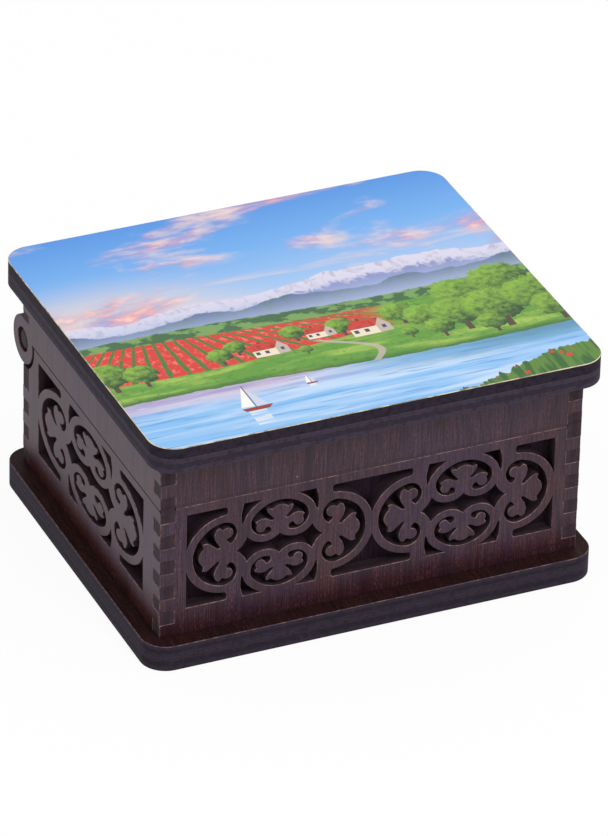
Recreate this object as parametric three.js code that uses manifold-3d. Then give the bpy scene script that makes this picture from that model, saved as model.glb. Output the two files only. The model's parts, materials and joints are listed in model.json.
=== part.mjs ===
// A lidded trinket box of laser-cut plywood: box-jointed walls pierced with scroll fretwork,
// plain liners behind them, a two-layer base and lid, and a wooden knuckle hinge on dowel pins.
// Millimetres, +Z up. The front faces -Y. The origin is the centre of the underside.

import * as THREE from 'three';
import { mergeVertices } from 'three/addons/utils/BufferGeometryUtils.js';
import Module from 'manifold-3d';

const wasm = await Module();
wasm.setup();

// Walls
const boxWidth = 112;
const boxDepth = 90;
const wallHeight = 36.2;
const wallThickness = 4;
const wallFingers = 10;
const linerThickness = 3;

// Base
const baseBoardThickness = 4;
const floorBoardThickness = 3;
const baseOverhangSide = 4;
const baseOverhangFront = 4.5;
const boardCornerRadius = 6.6;

// Lid
const lidFrameHeight = 14.2;
const lidFingers = 4;
const lidBoardThickness = 4;
const picturePanelThickness = 3;
const lidOverhangSide = 3.5;
const lidOverhangFront = 6.5;

// Hinge: the lid's knuckles turn on dowels that are glued in ears of the side liners
const hingeDrop = 1.5;
const knuckleRadius = 6.5;
const knucklePlay = 0.45;
const recessGap = 1;
const fingerGap = 0.45;
const dowelRadius = 2.8;
const dowelRecess = 0.25;
const dowelDome = 0.45;
const glueGap = 0.3;
const earRise = 3;
const earGap = 0.4;
const earSideGap = 0.3;

// Fretwork field inside each wall
const fretMarginTop = 2.6;
const fretMarginBottom = 7.2;
const fretMarginFront = 7;
const fretMarginBack = 11.4;
const fretMarginSide = 10.6;
const frontMotifs = 2;
const sideMotifs = 1;

// Fretwork motif, drawn round its centre and stretched to each wall's field: open rings at the
// left and right and open ovals above and below, each of them curled in round a three-lobed leaf
const ringRadius = 9;
const ringBand = 2.4;
const ringLap = 0.7;
const ringHookRadius = 3.4;
const ringHookTurn = 99.4;
const ringHookMouth = -62;
const ovalTopRadius = 8.9;
const ovalBand = 2.05;
const ovalLap = 1.02;
const ovalHookRadius = 3.6;
const ovalHookOffset = 4;
const ovalHookMouth = 292;
const hookLap = 1.3;
const leafTipGap = 1.3;
const starTipReach = 3.33;
const cornerSlotHeight = 1.8;
const cornerSlotReach = 0.5;
const cornerSlotRadius = 0.6;
const shoulderTurn = 168;

// The furthest that a facet lies inside its true curve
const facetSag = 0.055;

const axisHeight = wallHeight - hingeDrop;
const recessRadius = knuckleRadius + recessGap;
const knuckleBoreRadius = dowelRadius + knucklePlay;
const earRadius = Math.hypot(wallThickness, earRise);
const floorHeight = baseBoardThickness + floorBoardThickness;
const lidFrameBottom = floorHeight + wallHeight;
const innerWidth = boxWidth - 2 * wallThickness;
const innerDepth = boxDepth - 2 * wallThickness;

const toRadians = Math.PI / 180;
const point = (x, y) => new THREE.Vector2(x, y);
const mirrorX = (points) => points.map((p) => point(-p.x, p.y)).reverse();
const mirrorY = (points) => points.map((p) => point(p.x, -p.y)).reverse();

function arc(centre, radius, from, to) {
  const facetAngle = (2 * Math.acos(1 - facetSag / radius)) / toRadians;
  const steps = Math.ceil(Math.abs(to - from) / facetAngle);
  const points = [];
  for (let i = 0; i <= steps; i++) {
    const angle = (from + ((to - from) * i) / steps) * toRadians;
    points.push(point(centre.x + radius * Math.cos(angle), centre.y + radius * Math.sin(angle)));
  }
  return points;
}

const roundHole = (centre, radius) => arc(centre, radius, 360, 0).slice(1);

const smooth = (points) => new THREE.SplineCurve(points).getPoints(2 * points.length - 3);

const angleFrom = (centre, p) => Math.atan2(p.y - centre.y, p.x - centre.x) / toRadians;

// The crossing of two circles on the left of the way from a to b, or on the right for side = -1
function circleCrossing(a, radiusA, b, radiusB, side) {
  const span = a.distanceTo(b);
  const along = (radiusA ** 2 - radiusB ** 2 + span ** 2) / (2 * span);
  const across = side * Math.sqrt(radiusA ** 2 - along ** 2);
  const way = b.clone().sub(a).divideScalar(span);
  return point(a.x + way.x * along - way.y * across, a.y + way.y * along + way.x * across);
}

// Fretwork

// The upper oval is two arcs: a wide one over the top and a tight hook at each end
const ringOuter = ringRadius + ringBand;
const motifHeight = 2 * (ringOuter + cornerSlotHeight);
const ovalTopOuter = ovalTopRadius + ovalBand;
const ovalHookOuter = ovalHookRadius + ovalBand;
const ovalTop = point(0, motifHeight / 2 + ovalLap - ovalTopOuter);
const ovalHookRise = Math.sqrt((ovalTopRadius - ovalHookRadius) ** 2 - ovalHookOffset ** 2);
const ovalHook = point(-ovalHookOffset, ovalTop.y + ovalHookRise);
const ovalTurn = angleFrom(ovalTop, ovalHook);

// The left ring ends in a hook above and below, whose band laps over the oval's
const hookFromRing = ringRadius - ringHookRadius;
const hookHeight = hookFromRing * Math.sin(ringHookTurn * toRadians);
const hookOuter = Math.hypot(hookHeight, starTipReach);
const hookSpan = Math.sqrt((hookOuter + ovalHookOuter - hookLap) ** 2 - (ovalHook.y - hookHeight) ** 2);
const hook = point(ovalHook.x - hookSpan, hookHeight);
const ring = point(hook.x - hookFromRing * Math.cos(ringHookTurn * toRadians), 0);
const motifWidth = 2 * (ringOuter - ring.x - ringLap);

// The crescent between the left ring and the leaf inside it, which is drawn in leaf lengths
function ringPiercing() {
  const leafLength = ringRadius - leafTipGap;
  const leaf = (x, y) => point(ring.x - x * leafLength, y * leafLength);
  const upper = [
    leaf(1, 0),
    leaf(0.96, 0.21),
    leaf(0.86, 0.35),
    ...smooth([leaf(0.82, 0.52), leaf(0.65, 0.47), leaf(0.48, 0.35), leaf(0.3, 0.285)]),
    ...smooth([leaf(0.3, 0.285), leaf(0.44, 0.49), leaf(0.48, 0.69), leaf(0.285, 0.985)]).slice(1),
    ...arc(leaf(0.15, 0.675), 0.286 * leafLength, 94, -46),
    leaf(0.01, 0.4),
    leaf(-0.03, 0.34),
    ...arc(hook, ringHookRadius, ringHookMouth, ringHookTurn),
    ...arc(ring, ringRadius, ringHookTurn, 180).slice(1),
  ];
  const half = upper.slice(1, -1);
  return [upper[0], ...half, upper[upper.length - 1], ...mirrorY(half)];
}

// The same round the upright leaf of the upper oval, drawn in widths and heights of its hook
function ovalPiercing() {
  const leaf = (x, y) => point(-x * ovalHookOffset, ovalHook.y + y * ovalHookRadius);
  const left = [
    leaf(0, 1.24),
    leaf(0.38, 1.15),
    leaf(0.6, 0.96),
    ...smooth([leaf(0.88, 1.04), leaf(0.85, 0.74), leaf(0.68, 0.4), leaf(0.43, 0.07)]),
    ...smooth([leaf(0.43, 0.07), leaf(0.83, 0.21), leaf(1.2, 0.29), leaf(1.63, 0.1)]).slice(1),
    ...arc(leaf(1.09, -0.17), 0.583 * ovalHookRadius, 178, 305),
    leaf(0.65, -0.51),
    leaf(0.58, -0.68),
    ...arc(ovalHook, ovalHookRadius, ovalHookMouth, ovalTurn),
    ...arc(ovalTop, ovalTopRadius, ovalTurn, 90).slice(1),
  ];
  const half = left.slice(1, -1);
  return [left[0], ...half, left[left.length - 1], ...mirrorX(half)];
}

// The four-pointed opening between the rings, bounded by the outer edges of all the hooks
function starPiercing() {
  const tip = circleCrossing(hook, hookOuter, point(hook.x, -hook.y), hookOuter, 1);
  const horn = circleCrossing(hook, hookOuter, ovalHook, ovalHookOuter, -1);
  const cusp = circleCrossing(ovalHook, ovalHookOuter, point(-ovalHook.x, ovalHook.y), ovalHookOuter, -1);
  const left = [
    ...arc(hook, hookOuter, angleFrom(hook, tip), angleFrom(hook, horn)),
    ...arc(ovalHook, ovalHookOuter, angleFrom(ovalHook, horn), angleFrom(ovalHook, cusp)).slice(1),
  ];
  const upper = [...left, ...mirrorX(left).slice(1)];
  return [...upper, ...mirrorY(upper).slice(1, -1)];
}

// The upper edge of a corner opening, from the field's end to its slot between ring and border
function spandrelEdge() {
  const slotEnd = ring.x - cornerSlotReach - cornerSlotRadius;
  const foot = Math.acos((-motifWidth / 2 - ring.x) / ringOuter) / toRadians;
  const toe = Math.acos((slotEnd - ring.x) / ringOuter) / toRadians;
  const slotCentre = point(slotEnd, motifHeight / 2 - cornerSlotRadius);
  return [...arc(ring, ringOuter, foot, toe), ...arc(slotCentre, cornerSlotRadius, 0, 90)];
}

function cornerPiercing() {
  return [...spandrelEdge(), point(-motifWidth / 2, motifHeight / 2)];
}

// Two corner openings of neighbouring motifs run together, centred between them
function bridgePiercing() {
  const right = spandrelEdge().map((p) => point(p.x + motifWidth / 2, p.y));
  return [...mirrorX(right), ...right.slice(1)];
}

// The small three-cornered opening between an oval's shoulder and the border
function shoulderPiercing() {
  const top = motifHeight / 2;
  const toe = 180 - Math.asin((top - ovalTop.y) / ovalTopOuter) / toRadians;
  const besideRing = (x, y) => point(ring.x + x * ringOuter, y * ringOuter);
  return [
    ...smooth([point(besideRing(0.36, 0).x, top), besideRing(0.29, 0.91), besideRing(0.33, 0.65)]),
    ...arc(ovalHook, ovalHookOuter, shoulderTurn, ovalTurn),
    ...arc(ovalTop, ovalTopOuter, ovalTurn, toe).slice(1),
  ];
}

function motifPiercings() {
  const upper = [ovalPiercing(), shoulderPiercing(), mirrorX(shoulderPiercing())];
  const rings = [ringPiercing(), mirrorX(ringPiercing())];
  return [...rings, starPiercing(), ...upper, ...upper.map(mirrorY)];
}

// All openings of a wall's field, drawn round the field's centre
function fieldPiercings(motifs) {
  const piercings = [];
  const put = (points, x) => piercings.push(points.map((p) => point(p.x + x, p.y)));
  const ends = ((motifs - 1) * motifWidth) / 2;
  for (let i = 0; i < motifs; i++) {
    for (const points of motifPiercings()) put(points, i * motifWidth - ends);
  }
  for (let i = 0; i < motifs - 1; i++) {
    put(bridgePiercing(), (i + 0.5) * motifWidth - ends);
    put(mirrorY(bridgePiercing()), (i + 0.5) * motifWidth - ends);
  }
  put(cornerPiercing(), -ends);
  put(mirrorY(cornerPiercing()), -ends);
  put(mirrorX(cornerPiercing()), ends);
  put(mirrorX(mirrorY(cornerPiercing())), ends);
  return piercings;
}

function wallPiercings(wallLength, margin, motifs) {
  const stretchX = (wallLength - 2 * margin) / (motifs * motifWidth);
  const stretchY = (wallHeight - fretMarginTop - fretMarginBottom) / motifHeight;
  const middle = (wallHeight - fretMarginTop + fretMarginBottom) / 2;
  const place = (p) => point(p.x * stretchX, middle + p.y * stretchY);
  return fieldPiercings(motifs).map((points) => points.map(place));
}

// Flat pieces are drawn in their own plane and then stood up

function mergedOf(geometry) {
  geometry.deleteAttribute('uv');
  geometry.deleteAttribute('normal');
  return mergeVertices(geometry, 1e-5);
}

function board(outline, thickness) {
  const options = { depth: thickness, bevelEnabled: false };
  return mergedOf(new THREE.ExtrudeGeometry(new THREE.Shape(outline), options));
}

function solidOf(geometry) {
  const vertProperties = new Float32Array(geometry.attributes.position.array);
  const triVerts = new Uint32Array(geometry.index.array);
  return new wasm.Manifold(new wasm.Mesh({ numProp: 3, vertProperties, triVerts }));
}

function piercedBoard(outline, piercings, thickness) {
  let panel = solidOf(board(outline, thickness));
  for (const points of piercings) {
    const cutter = board(points, 3 * thickness).translate(0, 0, -thickness);
    panel = panel.subtract(solidOf(cutter));
  }
  const mesh = panel.getMesh();
  const geometry = new THREE.BufferGeometry();
  geometry.setAttribute('position', new THREE.BufferAttribute(mesh.vertProperties, 3));
  geometry.setIndex(new THREE.BufferAttribute(mesh.triVerts, 1));
  return geometry;
}

const acrossBasis = new THREE.Matrix4().set(1, 0, 0, 0, 0, 0, -1, 0, 0, 1, 0, 0, 0, 0, 0, 1);
const alongBasis = new THREE.Matrix4().set(0, 0, 1, 0, 1, 0, 0, 0, 0, 1, 0, 0, 0, 0, 0, 1);

// Facing -Y, with its outer face on the plane y
function standAcross(geometry, y, thickness) {
  return geometry.applyMatrix4(acrossBasis).translate(0, y + thickness, 0);
}

// Along Y, with its lower x at the plane x
function standAlong(geometry, x) {
  return geometry.applyMatrix4(alongBasis).translate(x, 0, 0);
}

// The stepped end of a box joint, from bottom to top, with fingers where own(index) is true
function fingerEnd(length, depth, height, count, own) {
  const points = [];
  for (let i = 0; i < count; i++) {
    const reach = own(i) ? length : length - depth;
    points.push(point(reach, (height * i) / count), point(reach, (height * (i + 1)) / count));
  }
  return points;
}

const even = (i) => i % 2 === 0;
const odd = (i) => i % 2 === 1;

// Outline points that repeat or lie on a straight edge are dropped
function tidyOutline(points) {
  const cross = (a, b, c) => (b.x - a.x) * (c.y - b.y) - (b.y - a.y) * (c.x - b.x);
  const distinct = points.filter((p, i) => p.distanceTo(points[(i + 1) % points.length]) > 1e-9);
  const at = (i) => distinct[(i + distinct.length) % distinct.length];
  return distinct.filter((p, i) => Math.abs(cross(at(i - 1), p, at(i + 1))) > 1e-9);
}

const wallPitch = wallHeight / wallFingers;
const recessBottom = axisHeight - recessRadius;
const backFingerTop = axisHeight - knuckleRadius - fingerGap;
const fullFingers = Math.floor(recessBottom / wallPitch);
const backFingers = even(fullFingers) ? fullFingers - 1 : fullFingers;

function frontWall() {
  const end = fingerEnd(boxWidth / 2, wallThickness, wallHeight, wallFingers, even);
  const outline = tidyOutline([...end, ...mirrorX(end)]);
  return piercedBoard(outline, wallPiercings(boxWidth, fretMarginFront, frontMotifs), wallThickness);
}

// The back wall's last finger runs up to just below the knuckle, and a notch above it passes the ear
function backWall() {
  const notch = innerWidth / 2 - linerThickness - earSideGap;
  const notchBottom = axisHeight - earRadius - earGap;
  const joint = fingerEnd(boxWidth / 2, wallThickness, wallPitch * backFingers, backFingers, even);
  const end = [
    ...joint.slice(0, -1),
    point(boxWidth / 2, backFingerTop),
    point(innerWidth / 2, backFingerTop),
    point(innerWidth / 2, notchBottom),
    point(notch, notchBottom),
    point(notch, wallHeight),
  ];
  const outline = tidyOutline([...end, ...mirrorX(end)]);
  return piercedBoard(outline, wallPiercings(boxWidth, fretMarginBack, frontMotifs), wallThickness);
}

function sideWall() {
  const front = fingerEnd(boxDepth / 2, wallThickness, wallHeight, wallFingers, odd);
  const backHeight = wallPitch * (backFingers - 1);
  const joint = fingerEnd(boxDepth / 2, wallThickness, backHeight, backFingers - 1, odd);
  const axis = point(boxDepth / 2, axisHeight);
  const start = 180 + Math.acos(wallThickness / recessRadius) / toRadians;
  const finish = 180 - Math.asin(hingeDrop / recessRadius) / toRadians;
  const back = [...joint, point(innerDepth / 2, backHeight), ...arc(axis, recessRadius, start, finish)];
  const outline = tidyOutline([...back, ...mirrorX(front)]);
  return piercedBoard(outline, wallPiercings(boxDepth, fretMarginSide, sideMotifs), wallThickness);
}

function frontLiner() {
  const half = innerWidth / 2 - linerThickness;
  const outline = [point(-half, 0), point(half, 0), point(half, wallHeight), point(-half, wallHeight)];
  return board(outline, linerThickness);
}

// A side liner's ear reaches back through the back wall and carries the dowel
function sideLiner() {
  const half = innerDepth / 2;
  const axis = point(boxDepth / 2, axisHeight);
  const join = Math.acos(wallThickness / earRadius) / toRadians;
  const outline = [
    point(-half, 0),
    point(half, 0),
    point(half, axisHeight - earRadius),
    ...arc(axis, earRadius, -90, 180 - join),
    point(half, wallHeight),
    point(-half, wallHeight),
  ];
  return piercedBoard(tidyOutline(outline), [roundHole(axis, dowelRadius + glueGap)], linerThickness);
}

function roundedBoard(width, depth, thickness) {
  const x = width / 2 - boardCornerRadius;
  const y = depth / 2 - boardCornerRadius;
  const corner = (cx, cy, from) => arc(point(cx, cy), boardCornerRadius, from, from + 90);
  const outline = [...corner(x, y, 0), ...corner(-x, y, 90), ...corner(-x, -y, 180), ...corner(x, -y, 270)];
  return board(outline, thickness);
}

const lidPitch = lidFrameHeight / lidFingers;
const knuckleTop = knuckleRadius - hingeDrop;

function lidFrontStrip() {
  const end = fingerEnd(boxWidth / 2, wallThickness, lidFrameHeight, lidFingers, odd);
  return board(tidyOutline([...end, ...mirrorX(end)]), wallThickness);
}

// The fingers of a lid corner at the back, of which the lowest is cut off level with the knuckle
function lidBackFingers(length, lowest, own) {
  const fingers = fingerEnd(length, wallThickness, lidFrameHeight, lidFingers, own);
  const above = fingers.filter((p) => p.y > knuckleTop);
  return [point(lowest, knuckleTop), ...above];
}

// The back strip is notched over the ears
function lidBackStrip() {
  const notch = innerWidth / 2 - linerThickness - earSideGap;
  const notchTop = earRadius - hingeDrop + earGap;
  const end = [
    point(notch, 0),
    point(notch, notchTop),
    point(innerWidth / 2, notchTop),
    point(innerWidth / 2, knuckleTop),
    ...lidBackFingers(boxWidth / 2, boxWidth / 2, odd),
  ];
  return board(tidyOutline([...end, ...mirrorX(end)]), wallThickness);
}

// A side strip ends at the back in its hinge knuckle
function lidSideStrip() {
  const front = fingerEnd(boxDepth / 2, wallThickness, lidFrameHeight, lidFingers, even);
  const axis = point(boxDepth / 2, -hingeDrop);
  const start = 180 - Math.asin(hingeDrop / knuckleRadius) / toRadians;
  const fingers = lidBackFingers(boxDepth / 2, innerDepth / 2, even);
  const outline = tidyOutline([...arc(axis, knuckleRadius, start, 450), ...fingers, ...mirrorX(front)]);
  return piercedBoard(outline, [roundHole(axis, knuckleBoreRadius)], wallThickness);
}

// A dowel with a domed end, lying along X with its domed end at the lower x
function dowel() {
  const length = wallThickness + linerThickness - dowelRecess;
  const domeRadius = (dowelRadius ** 2 + dowelDome ** 2) / (2 * dowelDome);
  const spread = Math.asin(dowelRadius / domeRadius) / toRadians;
  const dome = arc(point(0, length - domeRadius), domeRadius, 90 - spread, 90);
  const profile = [point(0, 0), point(dowelRadius, 0), ...dome.slice(0, -1), point(0, length)];
  const segments = roundHole(point(0, 0), dowelRadius).length;
  return mergedOf(new THREE.LatheGeometry(profile, segments)).rotateZ(Math.PI / 2);
}

// Colours and assembly

const finishes = {
  face: { color: 0x6b4a4c, roughness: 0.42, metalness: 0 },
  liner: { color: 0x2e2023, roughness: 0.45, metalness: 0 },
  edge: { color: 0x3f3236, roughness: 0.5, metalness: 0 },
  dowel: { color: 0x4a4547, roughness: 0.4, metalness: 0 },
  picture: { color: 0x7fa8c0, roughness: 0.15, metalness: 0 },
};

const trinketBox = new THREE.Group();

function add(name, geometry, finish, parent) {
  geometry.computeVertexNormals();
  const mesh = new THREE.Mesh(geometry, new THREE.MeshStandardMaterial(finishes[finish]));
  mesh.name = name;
  parent.add(mesh);
  return mesh;
}

const left = -boxWidth / 2;
const right = boxWidth / 2;
const front = -boxDepth / 2;
const back = boxDepth / 2;

const body = new THREE.Group();
const baseWidth = boxWidth + 2 * baseOverhangSide;
const baseDepth = boxDepth + 2 * baseOverhangFront;
add('base_board', roundedBoard(baseWidth, baseDepth, baseBoardThickness), 'edge', body);
const floor = add('floor_board', roundedBoard(baseWidth, baseDepth, floorBoardThickness), 'face', body);
floor.position.z = baseBoardThickness;

const walls = new THREE.Group();
walls.position.z = floorHeight;
const backLinerFace = back - wallThickness - linerThickness;
add('front_wall', standAcross(frontWall(), front, wallThickness), 'face', walls);
add('back_wall', standAcross(backWall(), back - wallThickness, wallThickness), 'face', walls);
add('left_wall', standAlong(sideWall(), left), 'face', walls);
add('right_wall', standAlong(sideWall(), right - wallThickness), 'face', walls);
add('front_liner', standAcross(frontLiner(), front + wallThickness, linerThickness), 'liner', walls);
add('back_liner', standAcross(frontLiner(), backLinerFace, linerThickness), 'liner', walls);
add('left_liner', standAlong(sideLiner(), left + wallThickness), 'liner', walls);
add('right_liner', standAlong(sideLiner(), right - wallThickness - linerThickness), 'liner', walls);

const dowelFoot = boxWidth / 2 - wallThickness - linerThickness;
const dowelLeft = add('hinge_dowel_left', dowel(), 'dowel', walls);
dowelLeft.position.set(-dowelFoot, back, axisHeight);
const dowelRight = add('hinge_dowel_right', dowel(), 'dowel', walls);
dowelRight.position.set(dowelFoot, back, axisHeight);
dowelRight.rotation.z = Math.PI;
body.add(walls);
trinketBox.add(body);

const lid = new THREE.Group();
lid.position.z = lidFrameBottom;
const lidWidth = boxWidth + 2 * lidOverhangSide;
const lidDepth = boxDepth + 2 * lidOverhangFront;
add('lid_front_strip', standAcross(lidFrontStrip(), front, wallThickness), 'face', lid);
add('lid_back_strip', standAcross(lidBackStrip(), back - wallThickness, wallThickness), 'face', lid);
add('lid_left_strip', standAlong(lidSideStrip(), left), 'face', lid);
add('lid_right_strip', standAlong(lidSideStrip(), right - wallThickness), 'face', lid);
const lidBoard = add('lid_board', roundedBoard(lidWidth, lidDepth, lidBoardThickness), 'edge', lid);
lidBoard.position.z = lidFrameHeight;
const pictureBoard = roundedBoard(lidWidth, lidDepth, picturePanelThickness);
const picture = add('picture_panel', pictureBoard, 'picture', lid);
picture.position.z = lidFrameHeight + lidBoardThickness;
trinketBox.add(lid);

export default trinketBox;
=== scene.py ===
import cmath
import json
import math

import bpy
from mathutils import Matrix, Vector


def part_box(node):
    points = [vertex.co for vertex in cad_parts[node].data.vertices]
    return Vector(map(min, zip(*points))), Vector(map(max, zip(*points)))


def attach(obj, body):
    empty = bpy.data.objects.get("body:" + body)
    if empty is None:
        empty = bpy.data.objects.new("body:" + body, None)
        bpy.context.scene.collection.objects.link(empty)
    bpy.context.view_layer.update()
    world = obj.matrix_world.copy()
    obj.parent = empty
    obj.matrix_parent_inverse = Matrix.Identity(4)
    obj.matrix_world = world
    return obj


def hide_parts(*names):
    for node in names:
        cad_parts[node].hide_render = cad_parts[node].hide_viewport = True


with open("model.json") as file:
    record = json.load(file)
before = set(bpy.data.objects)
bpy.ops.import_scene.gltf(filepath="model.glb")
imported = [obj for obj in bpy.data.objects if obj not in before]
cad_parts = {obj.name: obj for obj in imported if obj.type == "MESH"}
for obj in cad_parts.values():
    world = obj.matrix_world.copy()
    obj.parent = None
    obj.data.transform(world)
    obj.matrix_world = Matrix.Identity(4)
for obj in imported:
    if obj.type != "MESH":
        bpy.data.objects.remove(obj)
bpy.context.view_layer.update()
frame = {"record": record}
mm = 0.001
digits = 3  # the CAD's sizes are rounded to a micrometre

# Sizes that the CAD gives, in millimetres


def sizeOf(node):
    low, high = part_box(node)
    return [round((high[i] - low[i]) / mm, digits) for i in range(3)]


def lowOf(node):
    return [round(value / mm, digits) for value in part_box(node)[0]]


boxWidth, wallThickness, wallHeight = sizeOf("front_wall")
boxDepth = sizeOf("left_wall")[1]
linerThickness = sizeOf("front_liner")[1]
innerWidth = boxWidth - 2 * wallThickness
innerDepth = boxDepth - 2 * wallThickness
lidFrameHeight = sizeOf("lid_front_strip")[2]
hingeAxis = frame["record"]["behaviour"]["joints"][0]["pos_m"][2] / mm
axisHeight = hingeAxis - lowOf("front_wall")[2]
lidJoint = lowOf("lid_front_strip")[2]

# Flat drawing: points are complex numbers in millimetres, along and up the board

drawing = {
    "sag": 0.012, "turn": 15.0, "steps": 5,  # how far chords leave an arc, their turn, and a curve's steps
    "shortest": 0.03, "straight": 1e-6,  # closer points are merged, and those along a straight line left out
    "wornEdge": 0.17, "mitre": 1.8, "sharpest": 0.1,  # the worn round along a rim, and its reach at corners
    "leastSide": 0.15, "drawIn": 0.8, "rounds": 12,  # it reaches less where a short side would fold over
    "roundShare": 0.99, "weld": 0.0005, "sharpAngle": 20,
}


def arc(centre, radius, start, end):
    step = min(2 * math.degrees(math.acos(1 - drawing["sag"] / radius)), drawing["turn"])
    count = max(1, math.ceil(abs(end - start) / step))
    turns = [math.radians(start + (end - start) * i / count) for i in range(count + 1)]
    return [centre + cmath.rect(radius, turn) for turn in turns]


def mirrorX(points):
    return [-p.conjugate() for p in reversed(points)]


def mirrorY(points):
    return [p.conjugate() for p in reversed(points)]


def smoothed(points):
    padded = [points[0], *points, points[-1]]
    pieces = drawing["steps"]
    result = [points[0]]
    for a, b, c, d in zip(padded, padded[1:], padded[2:], padded[3:]):
        leave, reach = (c - a) / 2, (d - b) / 2
        for i in range(1, pieces + 1):
            t = i / pieces
            cubic = (2 * b - 2 * c + leave + reach) * t ** 3
            square = (-3 * b + 3 * c - 2 * leave - reach) * t ** 2
            result.append(cubic + square + leave * t + b)
    return result


def angleFrom(centre, p):
    return math.degrees(cmath.phase(p - centre))


# The crossing of two circles on the left of the way from a to b, or on the right for side = -1
def circleCrossing(a, radiusA, b, radiusB, side):
    span = abs(b - a)
    along = (radiusA ** 2 - radiusB ** 2 + span ** 2) / (2 * span)
    return a + (b - a) / span * (along + 1j * side * math.sqrt(radiusA ** 2 - along ** 2))


def tidied(points):
    kept = []
    for p in points:
        if not kept or abs(p - kept[-1]) > drawing["shortest"]:
            kept.append(p)
    if abs(kept[0] - kept[-1]) <= drawing["shortest"]:
        kept.pop()
    bent = []
    for before, p, after in zip([kept[-1], *kept], kept, [*kept[1:], kept[0]]):
        if abs(((p - before).conjugate() * (after - p)).imag) > drawing["straight"]:
            bent.append(p)
    return bent


def area(points):
    return sum((a.conjugate() * b).imag for a, b in zip(points, [*points[1:], points[0]])) / 2


def outer(points):
    points = tidied(points)
    return points if area(points) > 0 else points[::-1]


def opening(points):
    return outer(points)[::-1]


# How far each point moves, along its bisector, for every millimetre that the edge is worn
def mitres(points):
    count = len(points)
    ways = [points[(i + 1) % count] - points[i] for i in range(count)]
    ways = [way / abs(way) for way in ways]
    bisectors = [ways[i - 1] + ways[i] for i in range(count)]
    bisectors = [b / abs(b) if abs(b) > drawing["straight"] else way for b, way in zip(bisectors, ways)]
    leans = [max((b.conjugate() * way).real, drawing["sharpest"]) for b, way in zip(bisectors, ways)]
    scales = [min(1 / lean, drawing["mitre"]) for lean in leans]
    for _ in range(drawing["rounds"]):
        moved = [p + 1j * b * s * drawing["wornEdge"] for p, b, s in zip(points, bisectors, scales)]
        for i in range(count):
            after = (i + 1) % count
            side = ((moved[after] - moved[i]) * ways[i].conjugate()).real
            if side < drawing["leastSide"] * abs(points[after] - points[i]):
                scales[i] *= drawing["drawIn"]
                scales[after] *= drawing["drawIn"]
    return scales


# Fretwork motif: rings at the left and right, ovals above and below, each curled in round a leaf

motif = {
    "ringRadius": 9.0, "ringBand": 2.1, "ringLap": 0.4,
    "ringHookRadius": 3.4, "ringHookTurn": 99.4, "ringHookMouth": -57.0,
    "ovalTopRadius": 8.9, "ovalBand": 2.05, "ovalLap": 1.02,
    "ovalHookRadius": 3.6, "ovalHookOffset": 4.0, "ovalHookMouth": 294.0,
    "hookLap": 1.3, "leafTipGap": 1.3, "starTipReach": 3.33, "shoulderTurn": 168.0,
    "cornerSlotHeight": 2.1, "cornerSlotReach": 0.0, "cornerSlotRadius": 0.75,
    "ringChannel": (0.2, 120, -80), "ovalChannel": (0.36, 156, 350),  # a round end's radius, start and end
}
ringOuter = motif["ringRadius"] + motif["ringBand"]
motifHeight = 2 * (ringOuter + motif["cornerSlotHeight"])
ovalTopOuter = motif["ovalTopRadius"] + motif["ovalBand"]
ovalHookOuter = motif["ovalHookRadius"] + motif["ovalBand"]
ovalTop = complex(0, motifHeight / 2 + motif["ovalLap"] - ovalTopOuter)
ovalRise = math.sqrt((motif["ovalTopRadius"] - motif["ovalHookRadius"]) ** 2 - motif["ovalHookOffset"] ** 2)
ovalHook = complex(-motif["ovalHookOffset"], ovalTop.imag + ovalRise)
ovalTurn = angleFrom(ovalTop, ovalHook)
hookFromRing = motif["ringRadius"] - motif["ringHookRadius"]
hookHeight = hookFromRing * math.sin(math.radians(motif["ringHookTurn"]))
hookOuter = math.hypot(hookHeight, motif["starTipReach"])
hookSpan = math.sqrt((hookOuter + ovalHookOuter - motif["hookLap"]) ** 2 - (ovalHook.imag - hookHeight) ** 2)
hook = complex(ovalHook.real - hookSpan, hookHeight)
ring = complex(hook.real - hookFromRing * math.cos(math.radians(motif["ringHookTurn"])), 0)
motifWidth = 2 * (ringOuter - ring.real - motif["ringLap"])


# The crescent between the left ring and its leaf, which is drawn in leaf lengths
def ringOpening():
    length = motif["ringRadius"] - motif["leafTipGap"]
    channel, start, end = motif["ringChannel"]

    def leaf(*places):
        return [complex(ring.real - x * length, y * length) for x, y in places]

    upper = [
        *leaf((0.98, 0), (0.965, 0.09), (0.935, 0.17), (0.88, 0.245), (0.81, 0.325), (0.82, 0.42)),
        *smoothed(leaf((0.84, 0.49), (0.76, 0.515), (0.65, 0.495), (0.46, 0.345), (0.35, 0.25))),
        *smoothed(leaf((0.35, 0.25), (0.255, 0.25), (0.295, 0.36), (0.4, 0.53), (0.445, 0.73)))[1:],
        *smoothed(leaf((0.445, 0.73), (0.39, 0.915), (0.285, 0.99)))[1:],
        *leaf((0.24, 0.965), (0.19, 0.905), (0.14, 0.893)),
        *arc(*leaf((0, 0.745)), channel * length, start, end),
        *leaf((0.01, 0.53), (0.025, 0.49), (0, 0.44), (-0.06, 0.39)),
        *arc(hook, motif["ringHookRadius"], motif["ringHookMouth"], motif["ringHookTurn"]),
        *arc(ring, motif["ringRadius"], motif["ringHookTurn"], 180)[1:],
    ]
    return [*upper, *mirrorY(upper[1:-1])]


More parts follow.
